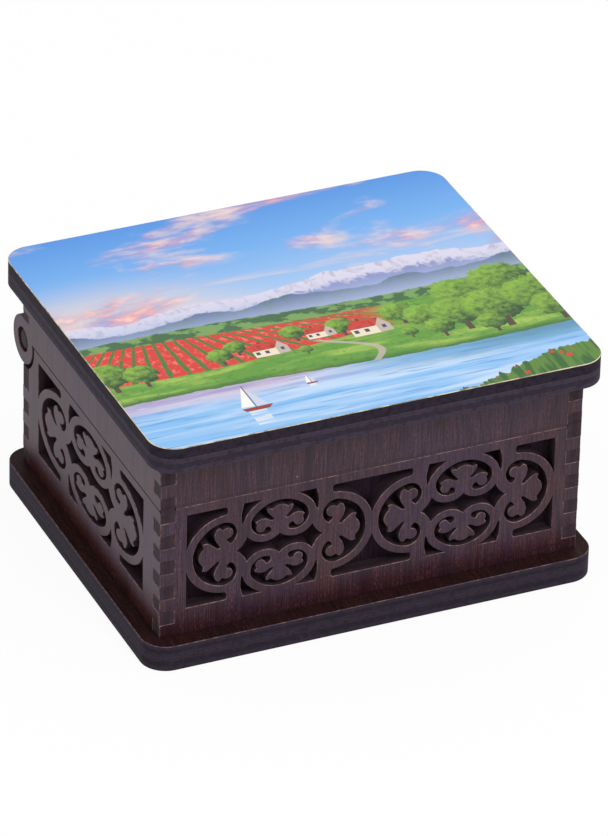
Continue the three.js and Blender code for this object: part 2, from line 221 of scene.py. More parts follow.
# The same round the upright leaf of the upper oval, drawn in widths and heights of its hook
def ovalOpening():
    radius = motif["ovalHookRadius"]
    channel, start, end = motif["ovalChannel"]

    def leaf(*places):
        return [complex(-x * motif["ovalHookOffset"], ovalHook.imag + y * radius) for x, y in places]

    left = [
        *leaf((0, 1.15), (0.16, 1.135), (0.3, 1.08), (0.42, 1), (0.52, 0.91), (0.65, 0.95)),
        *smoothed(leaf((0.8, 0.985), (0.865, 0.9), (0.8, 0.63), (0.56, 0.32), (0.37, 0.09))),
        *smoothed(leaf((0.37, 0.09), (0.48, 0.02), (0.68, 0.08), (0.92, 0.235), (1.2, 0.285)))[1:],
        *smoothed(leaf((1.2, 0.285), (1.48, 0.18), (1.62, 0.06)))[1:],
        *leaf((1.58, -0.05), (1.49, -0.17)),
        *arc(*leaf((1.245, -0.43)), channel * radius, start, end),
        *leaf((0.87, -0.455), (0.76, -0.45), (0.65, -0.52), (0.575, -0.64), (0.565, -0.76), (0.59, -0.86)),
        *arc(ovalHook, radius, motif["ovalHookMouth"], ovalTurn),
        *arc(ovalTop, motif["ovalTopRadius"], ovalTurn, 90)[1:],
    ]
    return [*left, *mirrorX(left[1:-1])]


# The four-pointed opening between the rings
def starOpening():
    tip = circleCrossing(hook, hookOuter, hook.conjugate(), hookOuter, 1)
    horn = circleCrossing(hook, hookOuter, ovalHook, ovalHookOuter, -1)
    cusp = circleCrossing(ovalHook, ovalHookOuter, -ovalHook.conjugate(), ovalHookOuter, -1)
    left = [
        *arc(hook, hookOuter, angleFrom(hook, tip), angleFrom(hook, horn)),
        *arc(ovalHook, ovalHookOuter, angleFrom(ovalHook, horn), angleFrom(ovalHook, cusp))[1:],
    ]
    upper = [*left, *mirrorX(left)[1:]]
    return [*upper, *mirrorY(upper)[1:-1]]


# The upper edge of a corner opening, from the field's end to its slot between ring and border
def spandrelEdge():
    radius = motif["cornerSlotRadius"]
    slotEnd = ring.real - motif["cornerSlotReach"] - radius
    foot = math.degrees(math.acos((-motifWidth / 2 - ring.real) / ringOuter))
    toe = math.degrees(math.acos((slotEnd - ring.real) / ringOuter))
    edge = arc(ring, ringOuter, foot, toe)
    lower, upper = edge[-1] + 1j * radius, complex(slotEnd, motifHeight / 2 - radius)
    return [*edge, *arc(lower, radius, -90, 0)[1:], *arc(upper, radius, 0, 90)]


def cornerOpening():
    return [*spandrelEdge(), complex(-motifWidth / 2, motifHeight / 2)]


# Two corner openings of neighbouring motifs run together
def bridgeOpening():
    right = [p + motifWidth / 2 for p in spandrelEdge()]
    return [*mirrorX(right), *right[1:]]


# The small three-cornered opening between an oval's shoulder and the border
def shoulderOpening():
    top = motifHeight / 2
    toe = 180 - math.degrees(math.asin((top - ovalTop.imag) / ovalTopOuter))

    def besideRing(x, y):
        return complex(ring.real + x * ringOuter, y * ringOuter)

    return [
        *smoothed([complex(besideRing(0.385, 0).real, top), besideRing(0.33, 0.92), besideRing(0.345, 0.66)]),
        *arc(ovalHook, ovalHookOuter, motif["shoulderTurn"], ovalTurn),
        *arc(ovalTop, ovalTopOuter, ovalTurn, toe)[1:],
    ]


def motifOpenings():
    upper = [ovalOpening(), shoulderOpening(), mirrorX(shoulderOpening())]
    return [ringOpening(), mirrorX(ringOpening()), starOpening(), *upper, *[mirrorY(p) for p in upper]]


# Node trees: sums of numbers add Math nodes, and every other node comes from one method


def sumOf(operation):
    def forward(self, other):
        return self.sheet.math(operation, self, other)

    def reflected(self, other):
        return self.sheet.math(operation, other, self)

    return forward, reflected


class Number:
    __add__, __radd__ = sumOf("ADD")
    __sub__, __rsub__ = sumOf("SUBTRACT")
    __mul__, __rmul__ = sumOf("MULTIPLY")
    __truediv__, __rtruediv__ = sumOf("DIVIDE")

    def __init__(self, sheet, socket):
        self.sheet = sheet
        self.socket = socket


class Sheet:
    def __init__(self, tree):
        self.tree = tree

    def node(self, kind, settings=None, sockets=None):
        made = self.tree.nodes.new(kind)
        for name, value in (settings or {}).items():
            if name == "stops":
                self.setStops(made.color_ramp, value)
            else:
                setattr(made, name, value)
        for name, value in (sockets or {}).items():
            for one in value if isinstance(value, list) else [value]:
                self.fill(made.inputs[name], one)
        return made

    def fill(self, socket, value):
        if isinstance(value, Number):
            value = value.socket
        if isinstance(value, bpy.types.NodeSocket):
            self.tree.links.new(value, socket)
        else:
            socket.default_value = value

    def setStops(self, ramp, stops):
        while len(ramp.elements) > 1:
            ramp.elements.remove(ramp.elements[-1])
        for place, (position, colour) in enumerate(stops):
            stop = ramp.elements.new(position) if place else ramp.elements[0]
            stop.position = position
            stop.color = colour

    def math(self, operation, first, second=0.0):
        made = self.node("ShaderNodeMath", {"operation": operation}, {0: first, 1: second})
        return Number(self, made.outputs[0])

    def vector(self, operation, first, second=(0, 0, 0)):
        return self.node("ShaderNodeVectorMath", {"operation": operation}, {0: first, 1: second}).outputs[0]

    def combine(self, x, y, z):
        return self.node("ShaderNodeCombineXYZ", None, {0: x, 1: y, 2: z}).outputs[0]

    def split(self, vector):
        made = self.node("ShaderNodeSeparateXYZ", None, {0: vector})
        return [Number(self, socket) for socket in made.outputs]

    # 0 below the low value, 1 above the high one, eased between them
    def ease(self, value, low, high):
        sockets = {"Value": value, "From Min": low, "From Max": high}
        made = self.node("ShaderNodeMapRange", {"interpolation_type": "SMOOTHSTEP"}, sockets)
        return Number(self, made.outputs[0])


# a screen's colour, in numbers up to 255, as the linear one that a socket takes
def tone(red, green, blue):
    parts = [value / 255 for value in (red, green, blue)]
    return tuple([p / 12.92 if p < 0.04045 else ((p + 0.055) / 1.055) ** 2.4 for p in parts] + [1.0])


# One tree cuts every board: outline and openings, filled, thickened and worn round at their rims

boardInputs = {
    "Object": ["Outline", "Motif", "Bridge", "Left End", "Right End"], "Int": ["Motifs"],
    "Float": ["Motif Width", "Field Centre", "Thickness", "Worn Edge", "Rub Low", "Rub High"],
    "Vector": ["Stretch"], "Material": ["Material"],
}


def cutBoardTree():
    tree = bpy.data.node_groups.new("cutBoard", "GeometryNodeTree")
    for kind, names in boardInputs.items():
        for name in names:
            tree.interface.new_socket(name=name, in_out="INPUT", socket_type="NodeSocket" + kind)
    tree.interface.new_socket(name="Board", in_out="OUTPUT", socket_type="NodeSocketGeometry")
    sheet = Sheet(tree)
    given = sheet.node("NodeGroupInput").outputs
    numbers = ("Motifs", "Motif Width", "Thickness", "Worn Edge", "Rub Low", "Rub High")
    count, width, thickness, worn, rubLow, rubHigh = [Number(sheet, given[name]) for name in numbers]

    def made(kind, sockets=None, settings=None):
        return sheet.node("GeometryNode" + kind, settings, sockets).outputs[0]

    def curves(name):
        return sheet.node("GeometryNodeObjectInfo", None, {"Object": given[name]}).outputs["Geometry"]

    # copies of one drawing in a row that is centred on the field
    def row(name, number, first):
        line = {"Start Location": sheet.combine(first, 0.0, 0.0), "Offset": sheet.combine(width, 0.0, 0.0)}
        points = made("MeshLine", {"Count": number, **line}, {"mode": "OFFSET"})
        return made("InstanceOnPoints", {"Points": points, "Instance": curves(name)})

    reach = (count - 1) * width / 2
    endCount = sheet.math("MINIMUM", count, 1.0)
    rows = [
        row("Motif", count, 0 - reach), row("Bridge", count - 1, width / 2 - reach),
        row("Left End", endCount, 0 - reach), row("Right End", endCount, reach),
    ]
    openings = made("RealizeInstances", {"Geometry": made("JoinGeometry", {"Geometry": rows})})
    place = made("InputPosition")
    centre = sheet.combine(0.0, given["Field Centre"], 0.0)
    stretched = sheet.vector("ADD", sheet.vector("MULTIPLY", place, given["Stretch"]), centre)
    openings = made("SetPosition", {"Geometry": openings, "Position": stretched})
    loops = made("JoinGeometry", {"Geometry": [curves("Outline"), openings]})

    def store(geometry, name, kind, domain, value):
        sockets = {"Geometry": geometry, "Name": name, "Value": value}
        return made("StoreNamedAttribute", sockets, {"data_type": kind, "domain": domain})

    # the way from each rim into the wood, kept as an attribute of the points
    tangent = sheet.split(made("InputTangent"))
    radius = Number(sheet, made("InputRadius"))
    way = sheet.combine((0 - tangent[1]) * radius, tangent[0] * radius, 0.0)
    loops = store(loops, "inward", "FLOAT_VECTOR", "POINT", way)
    inward = made("InputNamedAttribute", {"Name": "inward"}, {"data_type": "FLOAT_VECTOR"})

    # the side, in five steps: two for the worn round at each rim, and the straight part between them
    sides, selection = made("CurveToMesh", {"Curve": loops}), True
    bend = 1 - math.cos(math.pi / 4)
    for rise in (worn * bend, worn * (1 - bend), thickness - 2 * worn, worn * (1 - bend), worn * bend):
        step = {"Offset": sheet.combine(0.0, 0.0, rise), "Offset Scale": 1.0}
        grown = {"Mesh": sides, "Selection": selection, **step}
        extruded = sheet.node("GeometryNodeExtrudeMesh", {"mode": "EDGES"}, grown)
        sides, selection = extruded.outputs["Mesh"], extruded.outputs["Top"]
    height = sheet.split(place)[2]
    nearest = sheet.math("MINIMUM", height, thickness - height)
    slope = sheet.math("MAXIMUM", 1 - nearest / worn, 0.0)
    inset = worn * (1 - sheet.math("SQRT", sheet.math("MAXIMUM", 1 - slope * slope, 0.0)))
    upper = sheet.math("GREATER_THAN", height, thickness / 2)
    rub = rubLow + (rubHigh - rubLow) * upper
    onRound = sheet.math("LESS_THAN", nearest, worn * drawing["roundShare"])
    sides = store(sides, "worn", "FLOAT", "FACE", onRound * rub)
    sides = store(sides, "cut", "FLOAT", "FACE", 1.0)
    drawnIn = sheet.vector("MULTIPLY", inward, sheet.combine(inset, inset, 0.0))
    sides = made("SetPosition", {"Geometry": sides, "Offset": drawnIn})

    def cover(level):
        offset = sheet.vector("MULTIPLY", inward, sheet.combine(worn, worn, 0.0))
        rim = made("SetPosition", {"Geometry": loops, "Offset": offset})
        filled = made("FillCurve", {"Curve": rim}, {"mode": "NGONS"})
        lifted = made("SetPosition", {"Geometry": filled, "Offset": sheet.combine(0.0, 0.0, level)})
        return store(lifted, "cut", "FLOAT", "FACE", 0.0)

    under = made("FlipFaces", {"Mesh": cover(0.0)})
    parts = made("JoinGeometry", {"Geometry": [sides, under, cover(thickness)]})
    welded = made("MergeByDistance", {"Geometry": parts, "Distance": drawing["weld"] * mm})
    welded = store(welded, "depth", "FLOAT", "POINT", height / thickness)
    real = made("RealizeInstances", {"Geometry": welded})
    finished = made("SetMaterial", {"Geometry": real, "Material": given["Material"]})
    sheet.node("NodeGroupOutput", None, {"Board": finished})
    return tree
boardTree = cutBoardTree()
boardItems = boardTree.interface.items_tree
boardSockets = {item.name: item.identifier for item in boardItems if item.in_out == "INPUT"}
helpers = []


def placed(name, data):
    made = bpy.data.objects.new(name, data)
    bpy.context.collection.objects.link(made)
    return made


def drawn(name, loops):
    curve = bpy.data.curves.new(name, "CURVE")
    curve.dimensions = "3D"
    for loop in loops:
        spline = curve.splines.new("POLY")
        spline.points.add(len(loop) - 1)
        for point, p, scale in zip(spline.points, loop, mitres(loop)):
            point.co = (p.real * mm, p.imag * mm, 0.0, 1.0)
            point.radius = scale
        spline.use_cyclic_u = True
    helpers.append(placed(name, curve))
    return helpers[-1]


bridges = [bridgeOpening(), mirrorY(bridgeOpening())]
corners = [cornerOpening(), mirrorY(cornerOpening())]
motifDrawing = drawn("motifDrawing", [opening(p) for p in motifOpenings()])
bridgeDrawing = drawn("bridgeDrawing", [opening(p) for p in bridges])
leftEndDrawing = drawn("leftEndDrawing", [opening(p) for p in corners])
rightEndDrawing = drawn("rightEndDrawing", [opening(mirrorX(p)) for p in corners])
plainBoard = {"motifs": 0, "stretch": (1, 1, 1), "centre": 0.0}

# a board facing the front, one along the side, and one that lies flat
across = Matrix(((1, 0, 0, 0), (0, 0, -1, 0), (0, 1, 0, 0), (0, 0, 0, 1)))
along = Matrix(((0, 0, 1, 0), (1, 0, 0, 0), (0, 1, 0, 0), (0, 0, 0, 1)))
flat = Matrix.Identity(4)


def bodyOf(node):
    for body, nodes in frame["record"]["behaviour"]["bodies"].items():
        if node in nodes:
            return body


def slotOf(node):
    for entry in frame["record"]["subparts"]:
        if entry["node"] == node:
            return entry["material_slot"]


def finish(piece, node):
    body, slot = bodyOf(node), slotOf(node)
    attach(piece, body)
    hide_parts(node)


def standing(node, facing):
    low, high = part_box(node)
    if facing is across:
        return Matrix.Translation((0, high.y, low.z)) @ across
    if facing is along:
        return Matrix.Translation((low.x, 0, low.z)) @ along
    return Matrix.Translation((0, 0, low.z))


def cutBoard(name, node, loops, thickness, facing, material, field=plainBoard, rub=(1.0, 1.0)):
    outline = drawn(name + "Outline", loops)
    piece = placed(name, bpy.data.meshes.new(name))
    modifier = piece.modifiers.new("cutBoard", "NODES")
    modifier.node_group = boardTree
    values = {
        "Outline": outline, "Motif": motifDrawing, "Bridge": bridgeDrawing, "Left End": leftEndDrawing,
        "Right End": rightEndDrawing, "Motifs": field["motifs"], "Motif Width": motifWidth * mm,
        "Stretch": field["stretch"], "Field Centre": field["centre"] * mm, "Thickness": thickness * mm,
        "Worn Edge": drawing["wornEdge"] * mm, "Rub Low": rub[0], "Rub High": rub[1],
        "Material": material,
    }
    for key, value in values.items():
        modifier[boardSockets[key]] = value
    evaluated = piece.evaluated_get(bpy.context.evaluated_depsgraph_get())
    mesh = bpy.data.meshes.new_from_object(evaluated)
    piece.modifiers.remove(modifier)
    piece.data = mesh
    mesh.name = name
    mesh.transform(standing(node, facing))
    mesh.shade_smooth()
    mesh.set_sharp_from_angle(angle=math.radians(drawing["sharpAngle"]))
    finish(piece, node)


# Materials

woodLooks = {
    "wall": {
        "grain": "Z", "face": tone(61, 40, 55), "shade": tone(40, 25, 35), "fleck": tone(102, 66, 64),
        "cool": tone(57, 41, 65), "warm": tone(64, 35, 38), "foot": tone(42, 13, 10), "cut": tone(59, 46, 52),
        # the tint at the end of the next line is a painted sheen on faces that look sideways
        "layer": tone(49, 38, 44), "worn": tone(148, 118, 116), "sideTint": (1.1, 0.82, 1.13, 1),
        # the dark tone first on the next line paints shade into rims that face down, the lid's joint and the
        # walls' foot
        "crease": tone(24, 12, 14), "gloss": 0.05, "lacquer": 0.47,
    },
    # the base plate's cut sides are darker than the lid plate's: painted shade near the floor
    "basePlate": {
        "grain": "Y", "face": tone(43, 24, 27), "shade": tone(30, 17, 18), "fleck": tone(84, 52, 48),
        "cool": tone(51, 34, 40), "warm": tone(52, 28, 27), "foot": tone(45, 25, 27), "cut": tone(51, 44, 55),
        "layer": tone(40, 34, 43), "worn": tone(140, 112, 112), "gloss": 0.04, "lacquer": 0.3,
    },
    "lidPlate": {
        "grain": "Y", "face": tone(40, 20, 21), "shade": tone(28, 14, 15), "fleck": tone(84, 50, 44),
        "cool": tone(44, 26, 30), "warm": tone(50, 25, 22), "foot": tone(42, 21, 20), "cut": tone(59, 51, 64),
        "layer": tone(45, 39, 50), "worn": tone(140, 112, 112), "gloss": 0.04, "lacquer": 0.3,
    },
    "liner": {
        "grain": "Z", "face": tone(43, 30, 41), "shade": tone(31, 22, 30), "fleck": tone(64, 44, 50),
        "cool": tone(42, 31, 47), "warm": tone(47, 28, 34), "foot": tone(41, 25, 31), "cut": tone(46, 32, 41),
        "layer": tone(34, 23, 31), "worn": tone(66, 48, 50), "gloss": 0.04, "lacquer": 0.0,
    },
}

# What all boards share in their staining and in their painted shade and highlights; depths and heights are in
# millimetres
stainAndPaintedLight = {
    # size across the grain and along it in millimetres, shift, detail, roughness and distortion
    "noises": {
        "streaks": (0.5, 7.0, (0, 0, 0), 3.0, 0.6, 0.0), "bands": (3.2, 45.0, (3, 5, 7), 3.0, 0.5, 0.4),
        "clouds": (26.0, 30.0, (1, 9, 2), 2.0, 0.5, 0.0), "patches": (7.0, 16.0, (6, 2, 8), 3.0, 0.6, 0.0),
        "flecks": (0.2, 1.1, (8, 4, 6), 2.0, 0.6, 0.0), "hairs": (0.28, 9.0, (2, 2, 9), 2.0, 0.5, 0.0),
    },
    # waves in a metre, shift, detail and roughness
    "soot": (900, (5, 5, 5), 3.0, 0.5), "rubbed": (700, (2, 7, 1), 3.0, 0.6),
    # where a tone begins to show, where it is full, and the most that it covers
    "shares": {
        "bands": (0.42, 0.72, 0.7), "clouds": (0.42, 0.66, 0.7), "patches": (0.5, 0.7, 0.7),
        "sideways": (0.2, 0.4), "foot": (17.5, 12.0), "streaks": (0.56, 0.38, 0.75),
        "hairs": (0.5, 0.36, 0.55), "flecks": (0.46, 0.74, 0.6), "lightBands": (0.76, 0.38),
        # some of these shares place painted light: a highlight on rims that face up, and shade on rims that
        # face down, in the lid's joint, along the walls' foot and in a line above the joint
        "middleLayer": (0.2, 0.15, 0.25), "soot": (0.42, 0.78), "upright": (-0.35, 0.5, 0.55),
        "rubbed": (0.42, 0.66, 0.67), "joint": (0.5, 0.3), "downward": (-0.2, -0.55, 0.8),
        "rim": (0.04, 0.3), "crease": (8.2, 7.5, 0.5), "jointShadowLine": (0.45, 0.2, 0.3),
        "someCells": (0.9, 0.92), "specks": (0.035, 0.02, 0.6), "dull": (22.0, 10.0),
    },
    "footWander": 6.0, "footFront": 0.7, "footSide": 0.3, "footRed": 0.5, "fleckWander": 0.6, "middle": 0.5,
    # the rise on the next line sets how high above the lid's joint the painted shadow line lies
    "rimLeast": 0.35, "rubLeast": 0.28, "jointShadowRise": 0.7, "dustCells": 150, "dust": tone(160, 150, 155),
    "dullWander": 4.0, "cutGloss": 0.9, "coatRoughness": 0.4,
    "bumpStrength": 0.35, "bumpDepth": 0.06, "bumpFlecks": 0.5,
    "roughness": 0.4, "streakRoughness": 0.12, "cutRoughness": 0.14,
}
noiseMiddle = 0.5


def grainScale(grain, acrossPeriod, alongPeriod):
    periods = [alongPeriod if axis == grain else acrossPeriod for axis in "XYZ"]
    return tuple(1 / (period * mm) for period in periods)


class Paint(Sheet):
    def __init__(self, name, look=None, shares=None):
        self.material = bpy.data.materials.new(name)
        self.material.use_nodes = True
        super().__init__(self.material.node_tree)
        self.tree.nodes.clear()
        self.look, self.shares = look, shares
        coordinates = self.node("ShaderNodeTexCoord").outputs
        self.place, self.facing = coordinates["Object"], coordinates["Normal"]

    def mapped(self, scale, shift=(0, 0, 0)):
        sockets = {"Vector": self.place, "Scale": scale, "Location": shift}
        return self.node("ShaderNodeMapping", None, sockets).outputs[0]

    def noise(self, vector, detail, roughness, distortion=0.0):
        character = {"Scale": 1.0, "Detail": detail, "Roughness": roughness, "Distortion": distortion}
        return Number(self, self.node("ShaderNodeTexNoise", None, {"Vector": vector, **character}).outputs[0])

    # a fine noise that is the same in all directions
    def fine(self, waves, shift, detail, roughness):
        return self.noise(self.mapped((waves,) * 3, shift), detail, roughness)

    def dot(self, vector, factors):
        made = self.node("ShaderNodeVectorMath", {"operation": "DOT_PRODUCT"}, {0: vector, 1: factors})
        return Number(self, made.outputs["Value"])

    def length(self, vector):
        made = self.node("ShaderNodeVectorMath", {"operation": "LENGTH"}, {0: vector})
        return Number(self, made.outputs["Value"])

    def attribute(self, name):
        return Number(self, self.node("ShaderNodeAttribute", {"attribute_name": name}).outputs["Fac"])

    # a tone's share: none at the first of its limits, all or its most at the second
    def share(self, value, name):
        start, full, *most = self.shares[name]
        eased = self.ease(value, start, full)
        return eased * most[0] if most else eased

    # mixes tones of the look, by their names, or colour sockets
    def mix(self, first, second, factor, blend="MIX"):
        under, over = [self.look[one] if isinstance(one, str) else one for one in (first, second)]
        settings = {"data_type": "RGBA", "blend_type": blend}
        return self.node("ShaderNodeMix", settings, {0: factor, 6: under, 7: over}).outputs[2]

    # tones laid one over the other, each with its share
    def layers(self, colour, *coats):
        for coat, share in coats:
            colour = self.mix(colour, coat, share)
        return colour

    def surface(self, sockets):
        shader = self.node("ShaderNodeBsdfPrincipled", None, sockets).outputs[0]
        self.node("ShaderNodeOutputMaterial", None, {"Surface": shader})
        return self.material


def woodMaterial(name, look):
    paint = Paint(name, {**look, "dust": stainAndPaintedLight["dust"]}, stainAndPaintedLight["shares"])
    share = paint.share
    height = paint.split(paint.place)[2] / mm
    noises = []
    for acrossPeriod, alongPeriod, shift, detail, roughness, distortion in stainAndPaintedLight["noises"].values():
        scale = grainScale(look["grain"], acrossPeriod, alongPeriod)
        noises.append(paint.noise(paint.mapped(scale, shift), detail, roughness, distortion))
    streaks, bands, clouds, patches, flecks, hairs = noises

    colour = paint.layers("face", ("shade", share(bands, "bands")), ("cool", share(clouds, "clouds")))
    colour = paint.mix(colour, "warm", share(patches, "patches"))
    sideways = share(paint.math("ABSOLUTE", paint.split(paint.facing)[0]), "sideways")
    # painted sheen: faces that look sideways are tinted lilac, as if they reflected the room's light
    if "sideTint" in look:
        colour = paint.mix(colour, "sideTint", sideways, "MULTIPLY")
    # darker and redder towards the walls' foot, more so on the side faces, where it tempers the painted side
    # sheen
    foot = share(height + patches * stainAndPaintedLight["footWander"], "foot")
    reddish = share(flecks + (hairs - noiseMiddle) * stainAndPaintedLight["fleckWander"], "flecks")
    colour = paint.layers(
        colour,
        ("foot", foot * (stainAndPaintedLight["footFront"] + sideways * stainAndPaintedLight["footSide"])),
        ("shade", share(streaks, "streaks")), ("shade", share(hairs, "hairs")),
        ("foot", foot * sideways * stainAndPaintedLight["footRed"]), ("fleck", reddish * share(bands, "lightBands")),
    )

    # the laser's cut shows the layers of the sheet
    cut = paint.attribute("cut")
    middle = share(paint.math("ABSOLUTE", paint.attribute("depth") - stainAndPaintedLight["middle"]), "middleLayer")
    layered = paint.mix("cut", "layer", share(paint.fine(*stainAndPaintedLight["soot"]) + middle, "soot"))
    colour = paint.mix(colour, layered, cut)

    # the stained finish is rubbed thin along the rims; on rims that face up the paler tone is also painted
    # highlight
    rim = paint.attribute("worn")
    upright = paint.split(paint.facing)[2]
    worn = rim * (stainAndPaintedLight["rimLeast"] + share(upright, "upright"))
    rubbed = share(paint.fine(*stainAndPaintedLight["rubbed"]), "rubbed")
    colour = paint.mix(colour, "worn", worn * (stainAndPaintedLight["rubLeast"] + rubbed))

    # painted shade: rims that face down, the gap of the lid's joint at the sides, a contact shadow along the
    # walls' foot and, more faintly, a shadow line above the lid's joint at the front and back
    if "crease" in look:
        jointGapShadow = share(paint.math("ABSOLUTE", height - lidJoint), "joint") * sideways
        rimShadow = paint.math("MAXIMUM", share(upright, "downward"), jointGapShadow)
        jointShadowLine = share(paint.math("ABSOLUTE", height - lidJoint - stainAndPaintedLight["jointShadowRise"]), "jointShadowLine")
        colour = paint.layers(
            colour, ("crease", rimShadow * share(rim, "rim")), ("crease", share(height + patches, "crease")),
            ("crease", jointShadowLine * (1 - sideways)),
        )

    # a little dust
    cells = {"Vector": paint.mapped((stainAndPaintedLight["dustCells"],) * 3), "Scale": 1.0}
    dust = paint.node("ShaderNodeTexVoronoi", None, cells).outputs
    chosen = share(paint.split(dust["Color"])[0], "someCells")
    colour = paint.mix(colour, "dust", share(Number(paint, dust["Distance"]), "specks") * chosen)

    grain = {"Strength": stainAndPaintedLight["bumpStrength"], "Distance": stainAndPaintedLight["bumpDepth"] * mm}
    bump = paint.node("ShaderNodeBump", None, {**grain, "Height": streaks + flecks * stainAndPaintedLight["bumpFlecks"]})
    roughness = stainAndPaintedLight["roughness"] + streaks * stainAndPaintedLight["streakRoughness"] + cut * stainAndPaintedLight["cutRoughness"]
    sockets = {"Base Color": colour, "Roughness": roughness, "Normal": bump.outputs[0]}
    if look["lacquer"]:
        dull = share(height + patches * stainAndPaintedLight["dullWander"], "dull")
        sockets["Coat Weight"] = look["lacquer"] * (1 - dull) * (1 - cut * stainAndPaintedLight["cutGloss"])
    gloss = {"Specular IOR Level": look["gloss"], "Coat Roughness": stainAndPaintedLight["coatRoughness"]}
    return paint.surface({**sockets, **gloss})


wallWood = woodMaterial("stainedWallWood", woodLooks["wall"])
basePlateWood = woodMaterial("stainedBaseWood", woodLooks["basePlate"])
lidPlateWood = woodMaterial("stainedLidWood", woodLooks["lidPlate"])
linerWood = woodMaterial("stainedLinerWood", woodLooks["liner"])
print("materials: wood")

dowelLook = {
    "end": tone(57, 55, 57), "ring": tone(36, 35, 36), "bevel": tone(72, 36, 36), "side": tone(40, 20, 20),
    "ringPeriod": 0.55, "ringHeart": (0, 0.9, -0.7), "ringWander": 0.5, "edgeWander": 0.3,
    # waves in a metre, shift, detail and roughness
    "wander": (380, (0, 0, 0), 3.0, 0.5), "pores": (4200, (3, 1, 4), 2.0, 0.5),
    "poreDepth": 3.0, "bumpStrength": 0.4, "bumpDepth": 0.08,
    "roughness": 0.45, "poreRoughness": 0.2, "gloss": 0.06,
    "shares": {"rings": (-0.6, 1.4, 0.8), "bevel": (1.9, 2.15), "side": (2.45, 2.8)},  # the last two: radii
}


def dowelMaterial(look, axisPlace):
    paint = Paint("stainedDowelWood", look, look["shares"])
    around = paint.vector("MULTIPLY", paint.vector("SUBTRACT", paint.place, axisPlace), (0, 1 / mm, 1 / mm))
    wander, pores = paint.fine(*look["wander"]), paint.fine(*look["pores"])
    heart = paint.length(paint.vector("ADD", around, look["ringHeart"])) + wander * look["ringWander"]
    rings = paint.math("SINE", heart * (2 * math.pi / look["ringPeriod"]))
    edge = paint.length(around) + (wander - noiseMiddle) * look["edgeWander"]
    colour = paint.layers(
        "end", ("ring", paint.share(rings + (pores - noiseMiddle) * look["poreDepth"], "rings")),
        ("bevel", paint.share(edge, "bevel")), ("side", paint.share(edge, "side")),
    )
    grain = {"Strength": look["bumpStrength"], "Distance": look["bumpDepth"] * mm, "Height": pores}
    bump = paint.node("ShaderNodeBump", None, grain).outputs[0]
    roughness = look["roughness"] + pores * look["poreRoughness"]
    sockets = {"Base Color": colour, "Roughness": roughness, "Normal": bump}
    return paint.surface({**sockets, "Specular IOR Level": look["gloss"]})


# The lid's printed picture: a landscape in units of 100 mm from the panel's front left corner


def box(left, right, bottom, top):
    return [(left, bottom), (right, bottom), (right, top), (left, top)]


